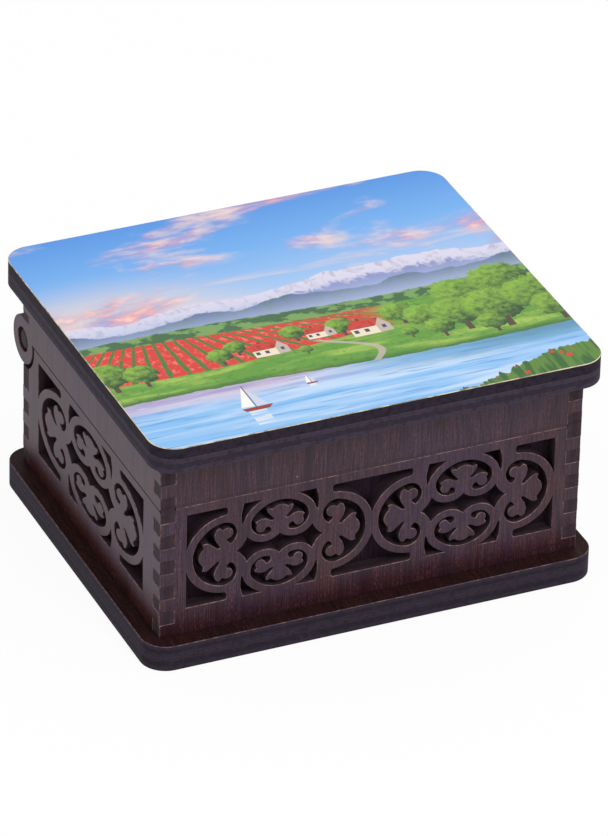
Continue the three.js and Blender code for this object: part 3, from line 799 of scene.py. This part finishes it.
pictureLook = {
    "unit": 100.0,
    "sky": [
        (0.0, tone(206, 214, 240)), (0.25, tone(160, 196, 240)),
        (0.6, tone(112, 174, 238)), (1.0, tone(76, 146, 226)),
    ],
    "glow": tone(255, 222, 190), "cloudLight": tone(250, 214, 200), "cloudPink": tone(238, 164, 170),
    "cloudShade": tone(164, 160, 208), "farMountain": tone(126, 136, 192), "nearMountain": tone(84, 104, 150),
    "snow": tone(232, 226, 242), "haze": tone(176, 192, 226), "hill": tone(118, 160, 88),
    "forest": tone(60, 104, 62), "flower": tone(218, 52, 44), "flowerLight": tone(240, 118, 104),
    "row": tone(70, 120, 48),
    "meadow": tone(96, 154, 52), "meadowDark": tone(46, 98, 38), "meadowLight": tone(164, 196, 84),
    "wall": tone(240, 226, 200), "wallShade": tone(196, 180, 170), "roof": tone(204, 60, 44),
    "roofShade": tone(150, 40, 36), "window": tone(60, 74, 100), "trunk": tone(84, 62, 50),
    "leafLight": tone(140, 186, 62), "leafDark": tone(30, 70, 34), "water": tone(134, 190, 240),
    "waterLight": tone(196, 220, 248), "waterDark": tone(84, 148, 212), "waterWood": tone(72, 127, 149),
    "hull": tone(150, 52, 40), "sail": tone(250, 246, 238), "sailShade": tone(206, 212, 232),
    "reed": tone(90, 132, 48), "rim": tone(240, 226, 196),
    "edge": tone(45, 39, 50), "edgeDark": tone(34, 30, 38),
    "roughness": 0.5, "gloss": 0.02, "lacquer": 0.6, "lacquerRoughness": 0.2,
    # on the panel's rim: waves in a metre, shift, detail and roughness
    "soot": (700, (0, 0, 0), 3.0, 0.5), "chips": (260, (4, 4, 4), 3.0, 0.7), "rimLeast": 0.3,
    # waves along and up the picture, detail, roughness, distortion and shift
    "noises": {
        "billow": (2.3, 5.2, 6.0, 0.56, 0.3, 4.3), "above": (2.3, 5.2, 6.0, 0.56, 0.3, 4.36),
        "broad": (1.3, 2.2, 1.0, 0.5, 0.0, 9.0), "wisps": (1.6, 13.0, 5.0, 0.6, 0.4, 2.0),
        "ridge": (3.4, 0.0, 7.0, 0.5, 0.0, 1.7), "crags": (26.0, 20.0, 4.0, 0.6, 1.2, 6.0),
        "foothill": (5.0, 0.0, 6.0, 0.5, 0.0, 8.2), "leaves": (52.0, 52.0, 3.0, 0.65, 0.0, 3.0),
        "clumps": (17.0, 30.0, 3.0, 0.6, 0.0, 7.0), "grass": (4.0, 24.0, 4.0, 0.6, 0.0, 5.0),
        "shore": (22.0, 0.0, 3.0, 0.6, 0.0, 2.4), "ripples": (5.0, 90.0, 3.0, 0.6, 0.2, 5.0),
        "swell": (1.6, 22.0, 3.0, 0.5, 0.3, 8.0), "glitter": (16.0, 120.0, 2.0, 0.7, 0.0, 1.0),
        "reedTops": (60.0, 6.0, 3.0, 0.6, 0.0, 3.3), "reeds": (60.0, 9.0, 2.0, 0.6, 0.0, 3.3),
    },
    # where a colour begins to show, where it is full, and the most that it covers
    "shares": {
        "glow": (0.55, 0.02, 0.9), "clouds": (0.49, 0.66, 0.9), "lit": (-0.05, 0.1), "pink": (0.1, 0.55),
        "light": (0.45, 0.95), "wisps": (0.54, 0.72, 0.5), "wispHeight": (0.9, 0.6),
        "snow": (-0.012, 0.012, 0.85), "rocks": (0.5, 0.7, 0.35), "farHaze": (0.48, 0.62),
        "slopes": (0.4, 0.62, 0.6), "nearHaze": (0.44, 0.6), "woods": (0.46, 0.54), "petals": (0.5, 0.66),
        "rows": (0.35, 0.8), "field": (0.8, 0.7), "blades": (0.45, 0.68), "tufts": (0.5, 0.72, 0.5),
        "shade": (0.03, 0.0, 0.8), "path": (0.012, 0.008, 0.8), "pathTop": (0.35, 0.34), "crown": (1.0, 0.92),
        "treeLight": (-1.2, 1.3), "tiles": (0.44, 0.7), "swell": (0.44, 0.66), "ripples": (0.53, 0.68, 0.65),
        "mirrored": (0.085, 0.005), "mirroredWood": (0.55, 0.95, 0.75), "mirroredField": (0.75, 0.4, 0.35),
        "glitter": (0.6, 0.68, 0.8), "glitterPath": (0.62, 0.3), "streak": (0.42, 0.56, 0.6),
        "corner": (0.78, 1.15, 0.1), "reeds": (0.42, 0.6), "bloom": (0.34, 0.26), "inBloom": (0.45, 0.5),
        "reedEdge": (0.0, 0.004), "reedStart": (0.76, 0.8), "soot": (0.4, 0.7), "top": (0.55, 0.6),
        "chips": (0.36, 0.62, 0.55),
    },
    # middle height of each skyline, the size of its waves, their number and start
    "skylines": {
        "hill": (0.5, 0.014, 5.0, 0.6), "field": (0.462, 0.02, 3.4, 2.0), "bank": (0.325, 0.018, 5.2, 3.6),
        "shore": (0.212, 0.014, 4.2, 0.9),
    },
    "ridge": (0.5, 0.24), "foothill": (0.49, 0.14),
    "softness": 0.003, "shoreSoftness": 0.0015, "crisp": 0.0009,
    "horizon": 0.5, "skyHeight": 0.53, "glowPlace": (0.1, 0.5), "glowShape": (1, 1.5, 0), "broadClouds": 0.5,
    "skyLight": 0.06, "snowDepth": 0.055, "snowWander": 0.1, "hillWander": 0.012, "shoreWander": 0.014,
    "fan": (0.2, 0.66), "fanRows": 46.0, "rowWander": 2.0, "mirrorWander": 0.05, "blooms": 34.0,
    "reedMiddle": 0.4, "reedHeight": 0.05, "upShift": 0.7,
    "path": {"middle": 0.66, "swing": 0.05, "turns": 30.0, "start": 0.22, "lean": 0.5},
    "tree": {
        "trunk": 0.12, "foot": 1.35, "flat": 0.92, "ragged": 0.9, "sun": (-0.55, 0.75, 0), "dapple": 3.6,
        "soft": 0.0014,
    },
    # places across and up the picture, and sizes
    "farTrees": [
        (0.52, 0.40, 0.034), (0.36, 0.385, 0.03), (0.64, 0.39, 0.038), (0.31, 0.36, 0.034), (0.8, 0.4, 0.046),
        (0.02, 0.37, 0.06), (0.1, 0.35, 0.046), (0.86, 0.36, 0.06),
    ],
    "cottages": [(0.585, 0.352, 0.036), (0.44, 0.318, 0.044), (0.71, 0.322, 0.05)],
    "nearTrees": [
        (0.98, 0.43, 0.075), (1.1, 0.46, 0.08), (0.94, 0.35, 0.07), (1.04, 0.35, 0.085), (1.15, 0.37, 0.08),
        (0.87, 0.3, 0.04), (1.18, 0.3, 0.06), (1.0, 0.275, 0.04), (0.52, 0.315, 0.018), (0.79, 0.3, 0.022),
    ],
    "boats": [(0.3, 0.105, 0.05), (0.47, 0.165, 0.02)],
    # convex patches in units of a cottage's or a boat's size, whose corners run anticlockwise
    "cottage": [
        ("roofShade", box(-0.5, -0.3, 1.0, 1.62)), ("wall", box(-1.1, 0.3, 0, 0.75)),
        ("wallShade", [(0.3, 0), (1.0, 0.06), (1.0, 0.72), (0.64, 1.36), (0.3, 0.75)]),
        ("tiles", [(-1.22, 0.68), (0.24, 0.68), (0.64, 1.4), (-0.86, 1.4)]),
        ("window", box(-0.97, -0.73, 0.26, 0.56)), ("window", box(-0.42, -0.18, 0.26, 0.56)),
        ("window", [(0.55, 0.36), (0.76, 0.38), (0.76, 0.68), (0.55, 0.66)]),
    ],
    "streak": box(-0.5, 0.4, -1.5, -0.2),
    "boat": [
        ("hull", [(-0.75, 0.1), (-0.6, -0.18), (0.6, -0.18), (0.9, 0.14)]),
        ("trunk", box(0.0, 0.05, 0.1, 2.1)), ("sail", [(-0.03, 2.0), (-0.7, 0.25), (-0.03, 0.2)]),
        ("sailShade", [(0.08, 0.2), (0.68, 0.26), (0.08, 1.85)]),
    ],
}


def pictureMaterial(look, corner):
    paint = Paint("printedPicture", look, look["shares"])
    share, layers, mix = paint.share, paint.layers, paint.mix
    unit = 1 / (look["unit"] * mm)
    scaled = paint.vector("MULTIPLY", paint.vector("SUBTRACT", paint.place, corner), (unit, unit, 0))
    spot = paint.vector("ADD", scaled, (0, 0, 1))
    x, y, _ = paint.split(spot)

    def cloudy(name):
        wide, high, detail, roughness, distortion, shift = look["noises"][name]
        waves = paint.vector("MULTIPLY", spot, (wide, high, 0))
        shifted = paint.vector("ADD", waves, (shift, shift * look["upShift"], shift))
        return paint.noise(shifted, detail, roughness, distortion)

    # how far a noise swings to either side of its middle
    def swing(noise, size):
        return (noise - noiseMiddle) * size

    def mountains(name):
        foot, rise = look[name]
        return foot + rise * cloudy(name)

    def skyline(name):
        middle, size, turns, start = look["skylines"][name]
        return middle + size * paint.math("SINE", x * turns + start)

    # the part below a skyline
    def below(level, softness=look["softness"]):
        return paint.ease(level - y, -softness, softness)

    # a convex patch, by the distance from its nearest side
    def patch(corners, softness):
        nearest = None
        for (ax, ay), (bx, by) in zip(corners, [*corners[1:], corners[0]]):
            span = math.hypot(bx - ax, by - ay)
            inX, inY = (ay - by) / span, (bx - ax) / span
            distance = paint.dot(spot, (inX, inY, -(inX * ax + inY * ay)))
            nearest = distance if nearest is None else paint.math("MINIMUM", nearest, distance)
        return paint.ease(nearest, -softness, softness)

    def patchAt(corners, cx, cy, size):
        return patch([(cx + u * size, cy + v * size) for u, v in corners], look["crisp"])

    # sky, with a low sun at the left and lit clouds
    height = (y - look["horizon"]) / look["skyHeight"]
    sky = paint.node("ShaderNodeValToRGB", {"stops": look["sky"]}, {0: height}).outputs[0]
    away = paint.vector("SUBTRACT", spot, (*look["glowPlace"], 1))
    toGlow = paint.length(paint.vector("MULTIPLY", away, look["glowShape"]))
    billow = cloudy("billow")
    clouds = share(billow + swing(cloudy("broad"), look["broadClouds"]), "clouds")
    lit = share(billow - cloudy("above") + height * look["skyLight"], "lit")
    cloudTone = layers("cloudShade", ("cloudPink", share(lit, "pink")), ("cloudLight", share(lit, "light")))
    wisps = share(cloudy("wisps"), "wisps") * share(y, "wispHeight")
    colour = layers(sky, ("glow", share(toGlow, "glow")), (cloudTone, clouds), ("cloudLight", wisps))

    # mountains
    ridge, crags = mountains("ridge"), cloudy("crags")
    snow = share(y - ridge + look["snowDepth"] + swing(crags, look["snowWander"]), "snow")
    far = layers("farMountain", ("snow", snow), ("nearMountain", share(crags, "rocks")))
    near = mix("nearMountain", "forest", share(crags, "slopes"))
    colour = layers(
        colour, (mix("haze", far, share(y, "farHaze")), below(ridge)),
        (mix("haze", near, share(y, "nearHaze")), below(mountains("foothill"))),
    )

    # far hill with woods, the flower field in rows, and the meadow
    leaves, clumps = cloudy("leaves"), cloudy("clumps")
    hill = mix("hill", "forest", share(clumps, "woods"))
    fanX, fanY = look["fan"]
    rows = paint.math("SINE", (x - fanX) / (fanY - y) * look["fanRows"])
    field = layers(
        "flower", ("flowerLight", share(leaves, "petals")),
        ("row", share(rows + swing(leaves, look["rowWander"]), "rows")),
    )
    blades = share(cloudy("grass"), "blades")
    grass = layers("meadow", ("meadowLight", blades), ("meadowDark", share(leaves, "tufts")))
    shore = skyline("shore") + swing(cloudy("shore"), look["shoreWander"])
    colour = layers(
        colour, (hill, below(skyline("hill") + swing(clumps, look["hillWander"]))),
        (mix(grass, field, share(x, "field")), below(skyline("field"))),
        (mix(grass, "meadowDark", share(y - shore, "shade")), below(skyline("bank"))),
    )

    # a light path that winds up from the shore
    path = look["path"]
    bend = path["middle"] + path["swing"] * paint.math("SINE", y * path["turns"])
    bend = bend - (y - path["start"]) * path["lean"]
    trodden = share(paint.math("ABSOLUTE", x - bend), "path") * share(y, "pathTop")
    colour = mix(colour, "wallShade", trodden)

    def tree(base, cx, cy, radius):
        kind = look["tree"]
        trunk = box(cx - radius * kind["trunk"], cx + radius * kind["trunk"], cy - radius * kind["foot"], cy)
        shaded = mix(base, "trunk", patch(trunk, kind["soft"]))
        reach = paint.vector("SUBTRACT", spot, (cx, cy, 1))
        local = paint.vector("MULTIPLY", reach, (1 / radius, 1 / (radius * kind["flat"]), 0))
        inside = share(paint.length(local) + swing(leaves, kind["ragged"]), "crown")
        light = share(paint.dot(local, kind["sun"]) + swing(leaves, kind["dapple"]), "treeLight")
        return mix(shaded, mix("leafDark", "leafLight", light), inside)

    paint.look = {**look, "tiles": mix("roof", "roofShade", share(leaves, "tiles"))}
    for place in look["farTrees"]:
        colour = tree(colour, *place)
    for place in look["cottages"]:
        colour = layers(colour, *[(name, patchAt(corners, *place)) for name, corners in look["cottage"]])
    for place in look["nearTrees"]:
        colour = tree(colour, *place)

    # lake
    ripples, swell = cloudy("ripples"), cloudy("swell")
    mirrored = share(shore - y + swing(ripples, look["mirrorWander"]), "mirrored")
    drift = x + (swell - noiseMiddle)
    water = layers(
        "water", ("waterLight", share(swell, "swell")), ("waterDark", share(ripples, "ripples")),
        ("waterWood", mirrored * share(drift, "mirroredWood")),
        ("flowerLight", mirrored * share(drift, "mirroredField")),
        ("snow", share(cloudy("glitter"), "glitter") * share(toGlow, "glitterPath")),
    )
    colour = mix(colour, water, below(shore, look["shoreSoftness"]))

    # small sailing boats, with streaks of light under them
    for place in look["boats"]:
        streak = patchAt(look["streak"], *place) * share(ripples, "streak")
        parts = [(name, patchAt(corners, *place)) for name, corners in look["boat"]]
        colour = layers(colour, ("sail", streak), *parts)

    # flowers and reeds in the near corner at the right
    reedTop = share(x, "corner") + (cloudy("reedTops") - look["reedMiddle"]) * look["reedHeight"]
    dots = paint.node("ShaderNodeTexVoronoi", None, {"Vector": spot, "Scale": look["blooms"]}).outputs
    bloom = share(Number(paint, dots["Distance"]), "bloom") * share(paint.split(dots["Color"])[1], "inBloom")
    reeds = layers("reed", ("meadowDark", share(cloudy("reeds"), "reeds")), ("flower", bloom))
    colour = mix(colour, reeds, share(reedTop - y, "reedEdge") * share(x, "reedStart"))

    # the panel's rim is bare and pale, and its cut side and underside are stained wood
    side = mix("edge", "edgeDark", share(paint.fine(*look["soot"]), "soot"))
    top = share(paint.attribute("depth"), "top")
    chips = share(paint.fine(*look["chips"]), "chips")
    side = mix(side, "rim", paint.attribute("worn") * top * (look["rimLeast"] + chips))
    printed = top * (1 - paint.attribute("cut"))
    sockets = {"Base Color": mix(side, colour, printed), "Roughness": look["roughness"]}
    gloss = {"Specular IOR Level": look["gloss"], "Coat Roughness": look["lacquerRoughness"]}
    return paint.surface({**sockets, **gloss, "Coat Weight": printed * look["lacquer"]})


picturePrint = pictureMaterial(pictureLook, tuple(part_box("picture_panel")[0]))
print("materials: picture")

# Walls of the box

walls = {"fingers": 10, "fretTop": 2.6, "fretBottom": 7.2, "endRecess": 0.12}
frontWall = {"motifs": 2, "fretEnd": 7.0}
backWall = {"motifs": 2, "fretEnd": 11.4}
sideWall = {"motifs": 1, "fretEnd": 10.6}
hinge = {
    "drop": wallHeight - axisHeight, "knuckleRadius": 6.5, "play": 0.45, "recessGap": 1.0, "fingerGap": 0.45,
    "dowelRadius": 2.8, "glueGap": 0.3, "earRise": 3.0, "earGap": 0.4, "earSideGap": 0.3,
}
recessRadius = hinge["knuckleRadius"] + hinge["recessGap"]
recessBottom = axisHeight - recessRadius
earRadius = math.hypot(wallThickness, hinge["earRise"])
earNotch = innerWidth / 2 - linerThickness - hinge["earSideGap"]
wallPitch = wallHeight / walls["fingers"]
backFingers = math.floor(recessBottom / wallPitch)
backFingers -= 1 - backFingers % 2


def even(i):
    return i % 2 == 0


def odd(i):
    return i % 2 == 1


# The stepped end of a box joint, from bottom to top, with fingers where own(index) is true
def fingerEnd(length, depth, height, count, own):
    points = []
    for i in range(count):
        reach = length - walls["endRecess"] if own(i) else length - depth
        points += [complex(reach, height * i / count), complex(reach, height * (i + 1) / count)]
    return points


def fieldOf(length, values):
    height = wallHeight - walls["fretTop"] - walls["fretBottom"]
    spread = (length - 2 * values["fretEnd"]) / (values["motifs"] * motifWidth)
    centre = (wallHeight - walls["fretTop"] + walls["fretBottom"]) / 2
    return {"motifs": values["motifs"], "stretch": (spread, height / motifHeight, 1), "centre": centre}


def frontOutline():
    end = fingerEnd(boxWidth / 2, wallThickness, wallHeight, walls["fingers"], even)
    return outer([*end, *mirrorX(end)])


def backOutline():
    joint = fingerEnd(boxWidth / 2, wallThickness, wallPitch * backFingers, backFingers, even)
    notchBottom = axisHeight - earRadius - hinge["earGap"]
    fingerTop = axisHeight - hinge["knuckleRadius"] - hinge["fingerGap"]
    end = [
        *joint[:-1], complex(joint[-1].real, fingerTop), complex(innerWidth / 2, fingerTop),
        complex(innerWidth / 2, notchBottom), complex(earNotch, notchBottom), complex(earNotch, wallHeight),
    ]
    return outer([*end, *mirrorX(end)])


def sideOutline():
    front = fingerEnd(boxDepth / 2, wallThickness, wallHeight, walls["fingers"], odd)
    backHeight = wallPitch * (backFingers - 1)
    joint = fingerEnd(boxDepth / 2, wallThickness, backHeight, backFingers - 1, odd)
    axis = complex(boxDepth / 2, axisHeight)
    start = 180 + math.degrees(math.acos(wallThickness / recessRadius))
    stop = 180 - math.degrees(math.asin(hinge["drop"] / recessRadius))
    back = [*joint, complex(innerDepth / 2, backHeight), *arc(axis, recessRadius, start, stop)]
    return outer([*back, *mirrorX(front)])


frontField, backField = fieldOf(boxWidth, frontWall), fieldOf(boxWidth, backWall)
sideField = fieldOf(boxDepth, sideWall)
cutBoard("frontWallBoard", "front_wall", [frontOutline()], wallThickness, across, wallWood, frontField)
cutBoard("backWallBoard", "back_wall", [backOutline()], wallThickness, across, wallWood, backField)
cutBoard("leftWallBoard", "left_wall", [sideOutline()], wallThickness, along, wallWood, sideField)
cutBoard("rightWallBoard", "right_wall", [sideOutline()], wallThickness, along, wallWood, sideField)
print("walls cut")

# Liners behind the fretwork, whose ears carry the hinge's dowels


def sideLinerLoops():
    half = innerDepth / 2
    axis = complex(boxDepth / 2, axisHeight)
    join = math.degrees(math.acos(wallThickness / earRadius))
    outline = [
        complex(-half, 0), complex(half, 0), complex(half, axisHeight - earRadius),
        *arc(axis, earRadius, -90, 180 - join), complex(half, wallHeight), complex(-half, wallHeight),
    ]
    bore = arc(axis, hinge["dowelRadius"] + hinge["glueGap"], 0, 360)[:-1]
    return [outer(outline), opening(bore)]


linerHalf = innerWidth / 2 - linerThickness
endLiner = [outer([complex(x, y) for x, y in box(-linerHalf, linerHalf, 0, wallHeight)])]
cutBoard("frontLinerBoard", "front_liner", endLiner, linerThickness, across, linerWood)
cutBoard("backLinerBoard", "back_liner", endLiner, linerThickness, across, linerWood)
cutBoard("leftLinerBoard", "left_liner", sideLinerLoops(), linerThickness, along, linerWood)
cutBoard("rightLinerBoard", "right_liner", sideLinerLoops(), linerThickness, along, linerWood)
print("liners cut")

# Frame of the lid

lidFrame = {"fingers": 4}
knuckleTop = hinge["knuckleRadius"] - hinge["drop"]


# The fingers of a lid corner at the back, of which the lowest is cut off level with the knuckle
def lidBackFingers(length, lowest, own):
    fingers = fingerEnd(length, wallThickness, lidFrameHeight, lidFrame["fingers"], own)
    return [complex(lowest, knuckleTop), *[p for p in fingers if p.imag > knuckleTop]]


def lidFrontOutline():
    end = fingerEnd(boxWidth / 2, wallThickness, lidFrameHeight, lidFrame["fingers"], odd)
    return outer([*end, *mirrorX(end)])


def lidBackOutline():
    notchTop = earRadius - hinge["drop"] + hinge["earGap"]
    fingers = lidBackFingers(boxWidth / 2, boxWidth / 2 - walls["endRecess"], odd)
    end = [
        complex(earNotch, 0), complex(earNotch, notchTop), complex(innerWidth / 2, notchTop),
        complex(innerWidth / 2, knuckleTop), *fingers,
    ]
    return outer([*end, *mirrorX(end)])


def lidSideLoops():
    front = fingerEnd(boxDepth / 2, wallThickness, lidFrameHeight, lidFrame["fingers"], even)
    axis = complex(boxDepth / 2, -hinge["drop"])
    start = 180 - math.degrees(math.asin(hinge["drop"] / hinge["knuckleRadius"]))
    knuckle = arc(axis, hinge["knuckleRadius"], start, 450)
    outline = [*knuckle, *lidBackFingers(boxDepth / 2, innerDepth / 2, even), *mirrorX(front)]
    bore = arc(axis, hinge["dowelRadius"] + hinge["play"], 0, 360)[:-1]
    return [outer(outline), opening(bore)]


# the knuckle reaches below the frame, so a side strip's drawing starts under its box's lowest point
def lowered(loops):
    lowest = min(p.imag for loop in loops for p in loop)
    return [[p - 1j * lowest for p in loop] for loop in loops]


cutBoard("lidFrontBoard", "lid_front_strip", [lidFrontOutline()], wallThickness, across, wallWood)
cutBoard("lidBackBoard", "lid_back_strip", [lidBackOutline()], wallThickness, across, wallWood)
cutBoard("lidLeftBoard", "lid_left_strip", lowered(lidSideLoops()), wallThickness, along, wallWood)
cutBoard("lidRightBoard", "lid_right_strip", lowered(lidSideLoops()), wallThickness, along, wallWood)
print("lid frame cut")

# Plates of the base and the lid

# corner radius, and how far the stain is rubbed off each plate's lower and upper rim
plates = {
    "cornerRadius": 6.6, "baseRub": (0.6, 0.12), "floorRub": (0.12, 0.8), "lidRub": (0.5, 0.12),
    "pictureRub": (0.1, 1.0),
}


def plateLoops(node):
    width, depth = sizeOf(node)[:2]
    radius = plates["cornerRadius"]
    x, y = width / 2 - radius, depth / 2 - radius
    centres = [complex(x, y), complex(-x, y), complex(-x, -y), complex(x, -y)]
    return [outer([p for i, c in enumerate(centres) for p in arc(c, radius, 90 * i, 90 * i + 90)])]


def plate(name, node, material, rub):
    cutBoard(name, node, plateLoops(node), sizeOf(node)[2], flat, material, rub=rub)


plate("basePlate", "base_board", basePlateWood, plates["baseRub"])
plate("floorPlate", "floor_board", basePlateWood, plates["floorRub"])
plate("lidPlate", "lid_board", lidPlateWood, plates["lidRub"])
plate("picturePlate", "picture_panel", picturePrint, plates["pictureRub"])
print("plates cut")

# Dowels of the hinge, turned, with a wide bevel round the outer end

dowelShape = {
    "sides": 64, "innerBevel": 0.2, "endRadius": 2.05, "bevelDepth": 0.45, "edge": 0.12, "crown": 0.05,
    "sharpAngle": 30,
}


def dowel(name, node, material):
    low, high = (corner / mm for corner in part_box(node))
    outside = 1 if high.x > 0 else -1
    inner, outerEnd = (low.x, high.x) if outside > 0 else (high.x, low.x)
    radius, flatRadius = hinge["dowelRadius"], dowelShape["endRadius"]
    bevel, edge, crown = dowelShape["innerBevel"], dowelShape["edge"], dowelShape["crown"]
    profile = [
        (inner, radius - bevel), (inner + bevel * outside, radius),
        (outerEnd - dowelShape["bevelDepth"] * outside, radius),
        (outerEnd - (edge + crown) * outside, flatRadius + edge),
        (outerEnd - crown * outside, flatRadius - edge), (outerEnd - crown / 4 * outside, flatRadius / 2),
    ]
    sides = dowelShape["sides"]
    middle = (low + high) / 2
    turns = [2 * math.pi * i / sides for i in range(sides)]
    points, faces = [], []
    for x, reach in profile:
        for turn in turns:
            y, z = middle.y + reach * math.cos(turn), middle.z + reach * math.sin(turn)
            points.append((x * mm, y * mm, z * mm))
    for k in range(len(profile) - 1):
        for i in range(sides):
            a, b = k * sides + i, k * sides + (i + 1) % sides
            faces.append((a, b, b + sides, a + sides))
    for x, first in ((inner, 0), (outerEnd, (len(profile) - 1) * sides)):
        points.append((x * mm, middle.y * mm, middle.z * mm))
        for i in range(sides):
            a, b = first + i, first + (i + 1) % sides
            faces.append((b, a, len(points) - 1) if first == 0 else (a, b, len(points) - 1))
    if outside < 0:
        faces = [face[::-1] for face in faces]
    mesh = bpy.data.meshes.new(name)
    mesh.from_pydata(points, [], faces)
    mesh.materials.append(material)
    mesh.shade_smooth()
    mesh.set_sharp_from_angle(angle=math.radians(dowelShape["sharpAngle"]))
    finish(placed(name, mesh), node)


dowelWood = dowelMaterial(dowelLook, (0, boxDepth / 2 * mm, hingeAxis * mm))
dowel("leftDowel", "hinge_dowel_left", dowelWood)
dowel("rightDowel", "hinge_dowel_right", dowelWood)
print("dowels turned")

for helper in helpers:
    bpy.data.objects.remove(helper)

# Floor, light and camera

white = (1, 1, 1, 1)
studio = {
    "world": 0.8, "floorTone": (0.95, 0.95, 0.95, 1), "floorWhite": 0.93,
    "floorSize": 4.0, "floorDrop": 0.0001,
}


# how much a surface of the set shows its plain white to the eye and in reflections
def seen(sheet):
    path = sheet.node("ShaderNodeLightPath").outputs
    eye = sheet.math("MAXIMUM", path["Is Camera Ray"], path["Is Glossy Ray"])
    return sheet.math("MAXIMUM", eye, path["Is Transmission Ray"])


def makeFloor():
    half = studio["floorSize"] / 2
    mesh = bpy.data.meshes.new("floor")
    corners = [(x, y, -studio["floorDrop"]) for x, y in box(-half, half, -half, half)]
    mesh.from_pydata(corners, [], [(0, 1, 2, 3)])
    floor = placed("floor", mesh)
    paint = Paint("whiteFloor")
    plain = paint.node("ShaderNodeBsdfDiffuse", None, {"Color": studio["floorTone"]}).outputs[0]
    bright = paint.node("ShaderNodeEmission", None, {"Color": white, "Strength": 1.0}).outputs[0]
    share = seen(paint) * studio["floorWhite"]
    shown = paint.node("ShaderNodeMixShader", None, {0: share, 1: plain, 2: bright}).outputs[0]
    paint.node("ShaderNodeOutputMaterial", None, {"Surface": shown})
    mesh.materials.append(paint.material)


def makeWorld():
    world = bpy.data.worlds.new("studio")
    world.use_nodes = True
    sheet = Sheet(world.node_tree)
    sheet.tree.nodes.clear()
    strength = studio["world"] + seen(sheet) * (1 - studio["world"])
    light = sheet.node("ShaderNodeBackground", None, {"Color": white, "Strength": strength}).outputs[0]
    sheet.node("ShaderNodeOutputWorld", None, {"Surface": light})
    bpy.context.scene.world = world


lamps = {"key": {"place": (0.25, -1.1, 1.2), "aim": (0, 0, 0.03), "size": 0.7, "power": 9.0}}


def makeLamp(name, values):
    data = bpy.data.lights.new(name, "AREA")
    data.shape = "DISK"
    data.size = values["size"]
    data.energy = values["power"]
    lamp = placed(name, data)
    lamp.location = values["place"]
    lamp.rotation_euler = (Vector(values["aim"]) - lamp.location).to_track_quat("-Z", "Y").to_euler()


cameraView = {
    "azimuth": -24.328, "elevation": 31.352, "roll": 1.494, "distance": 1630.7, "target": (0, 0, 30.24),
    "across": -1.334, "up": -1.229, "lens": 282.2, "sensor": 36,
}


def makeCamera():
    turn, lift = math.radians(cameraView["azimuth"]), math.radians(cameraView["elevation"])
    roll = math.radians(cameraView["roll"])
    back = Vector((math.sin(turn) * math.cos(lift), -math.cos(turn) * math.cos(lift), math.sin(lift)))
    level = Vector((math.cos(turn), math.sin(turn), 0))
    upright = level.cross(-back)
    right = level * math.cos(roll) + upright * math.sin(roll)
    up = upright * math.cos(roll) - level * math.sin(roll)
    place = Vector(cameraView["target"]) + back * cameraView["distance"]
    place -= right * cameraView["across"] + up * cameraView["up"]
    data = bpy.data.cameras.new("camera")
    data.lens = cameraView["lens"]
    data.sensor_width = cameraView["sensor"]
    camera = placed("camera", data)
    camera.matrix_world = Matrix((
        (right.x, up.x, back.x, place.x * mm), (right.y, up.y, back.y, place.y * mm),
        (right.z, up.z, back.z, place.z * mm), (0, 0, 0, 1),
    ))
    bpy.context.scene.camera = camera


makeFloor()
makeWorld()
for name, values in lamps.items():
    makeLamp(name, values)
makeCamera()
bpy.context.scene.view_settings.view_transform = "Standard"
print("studio ready")
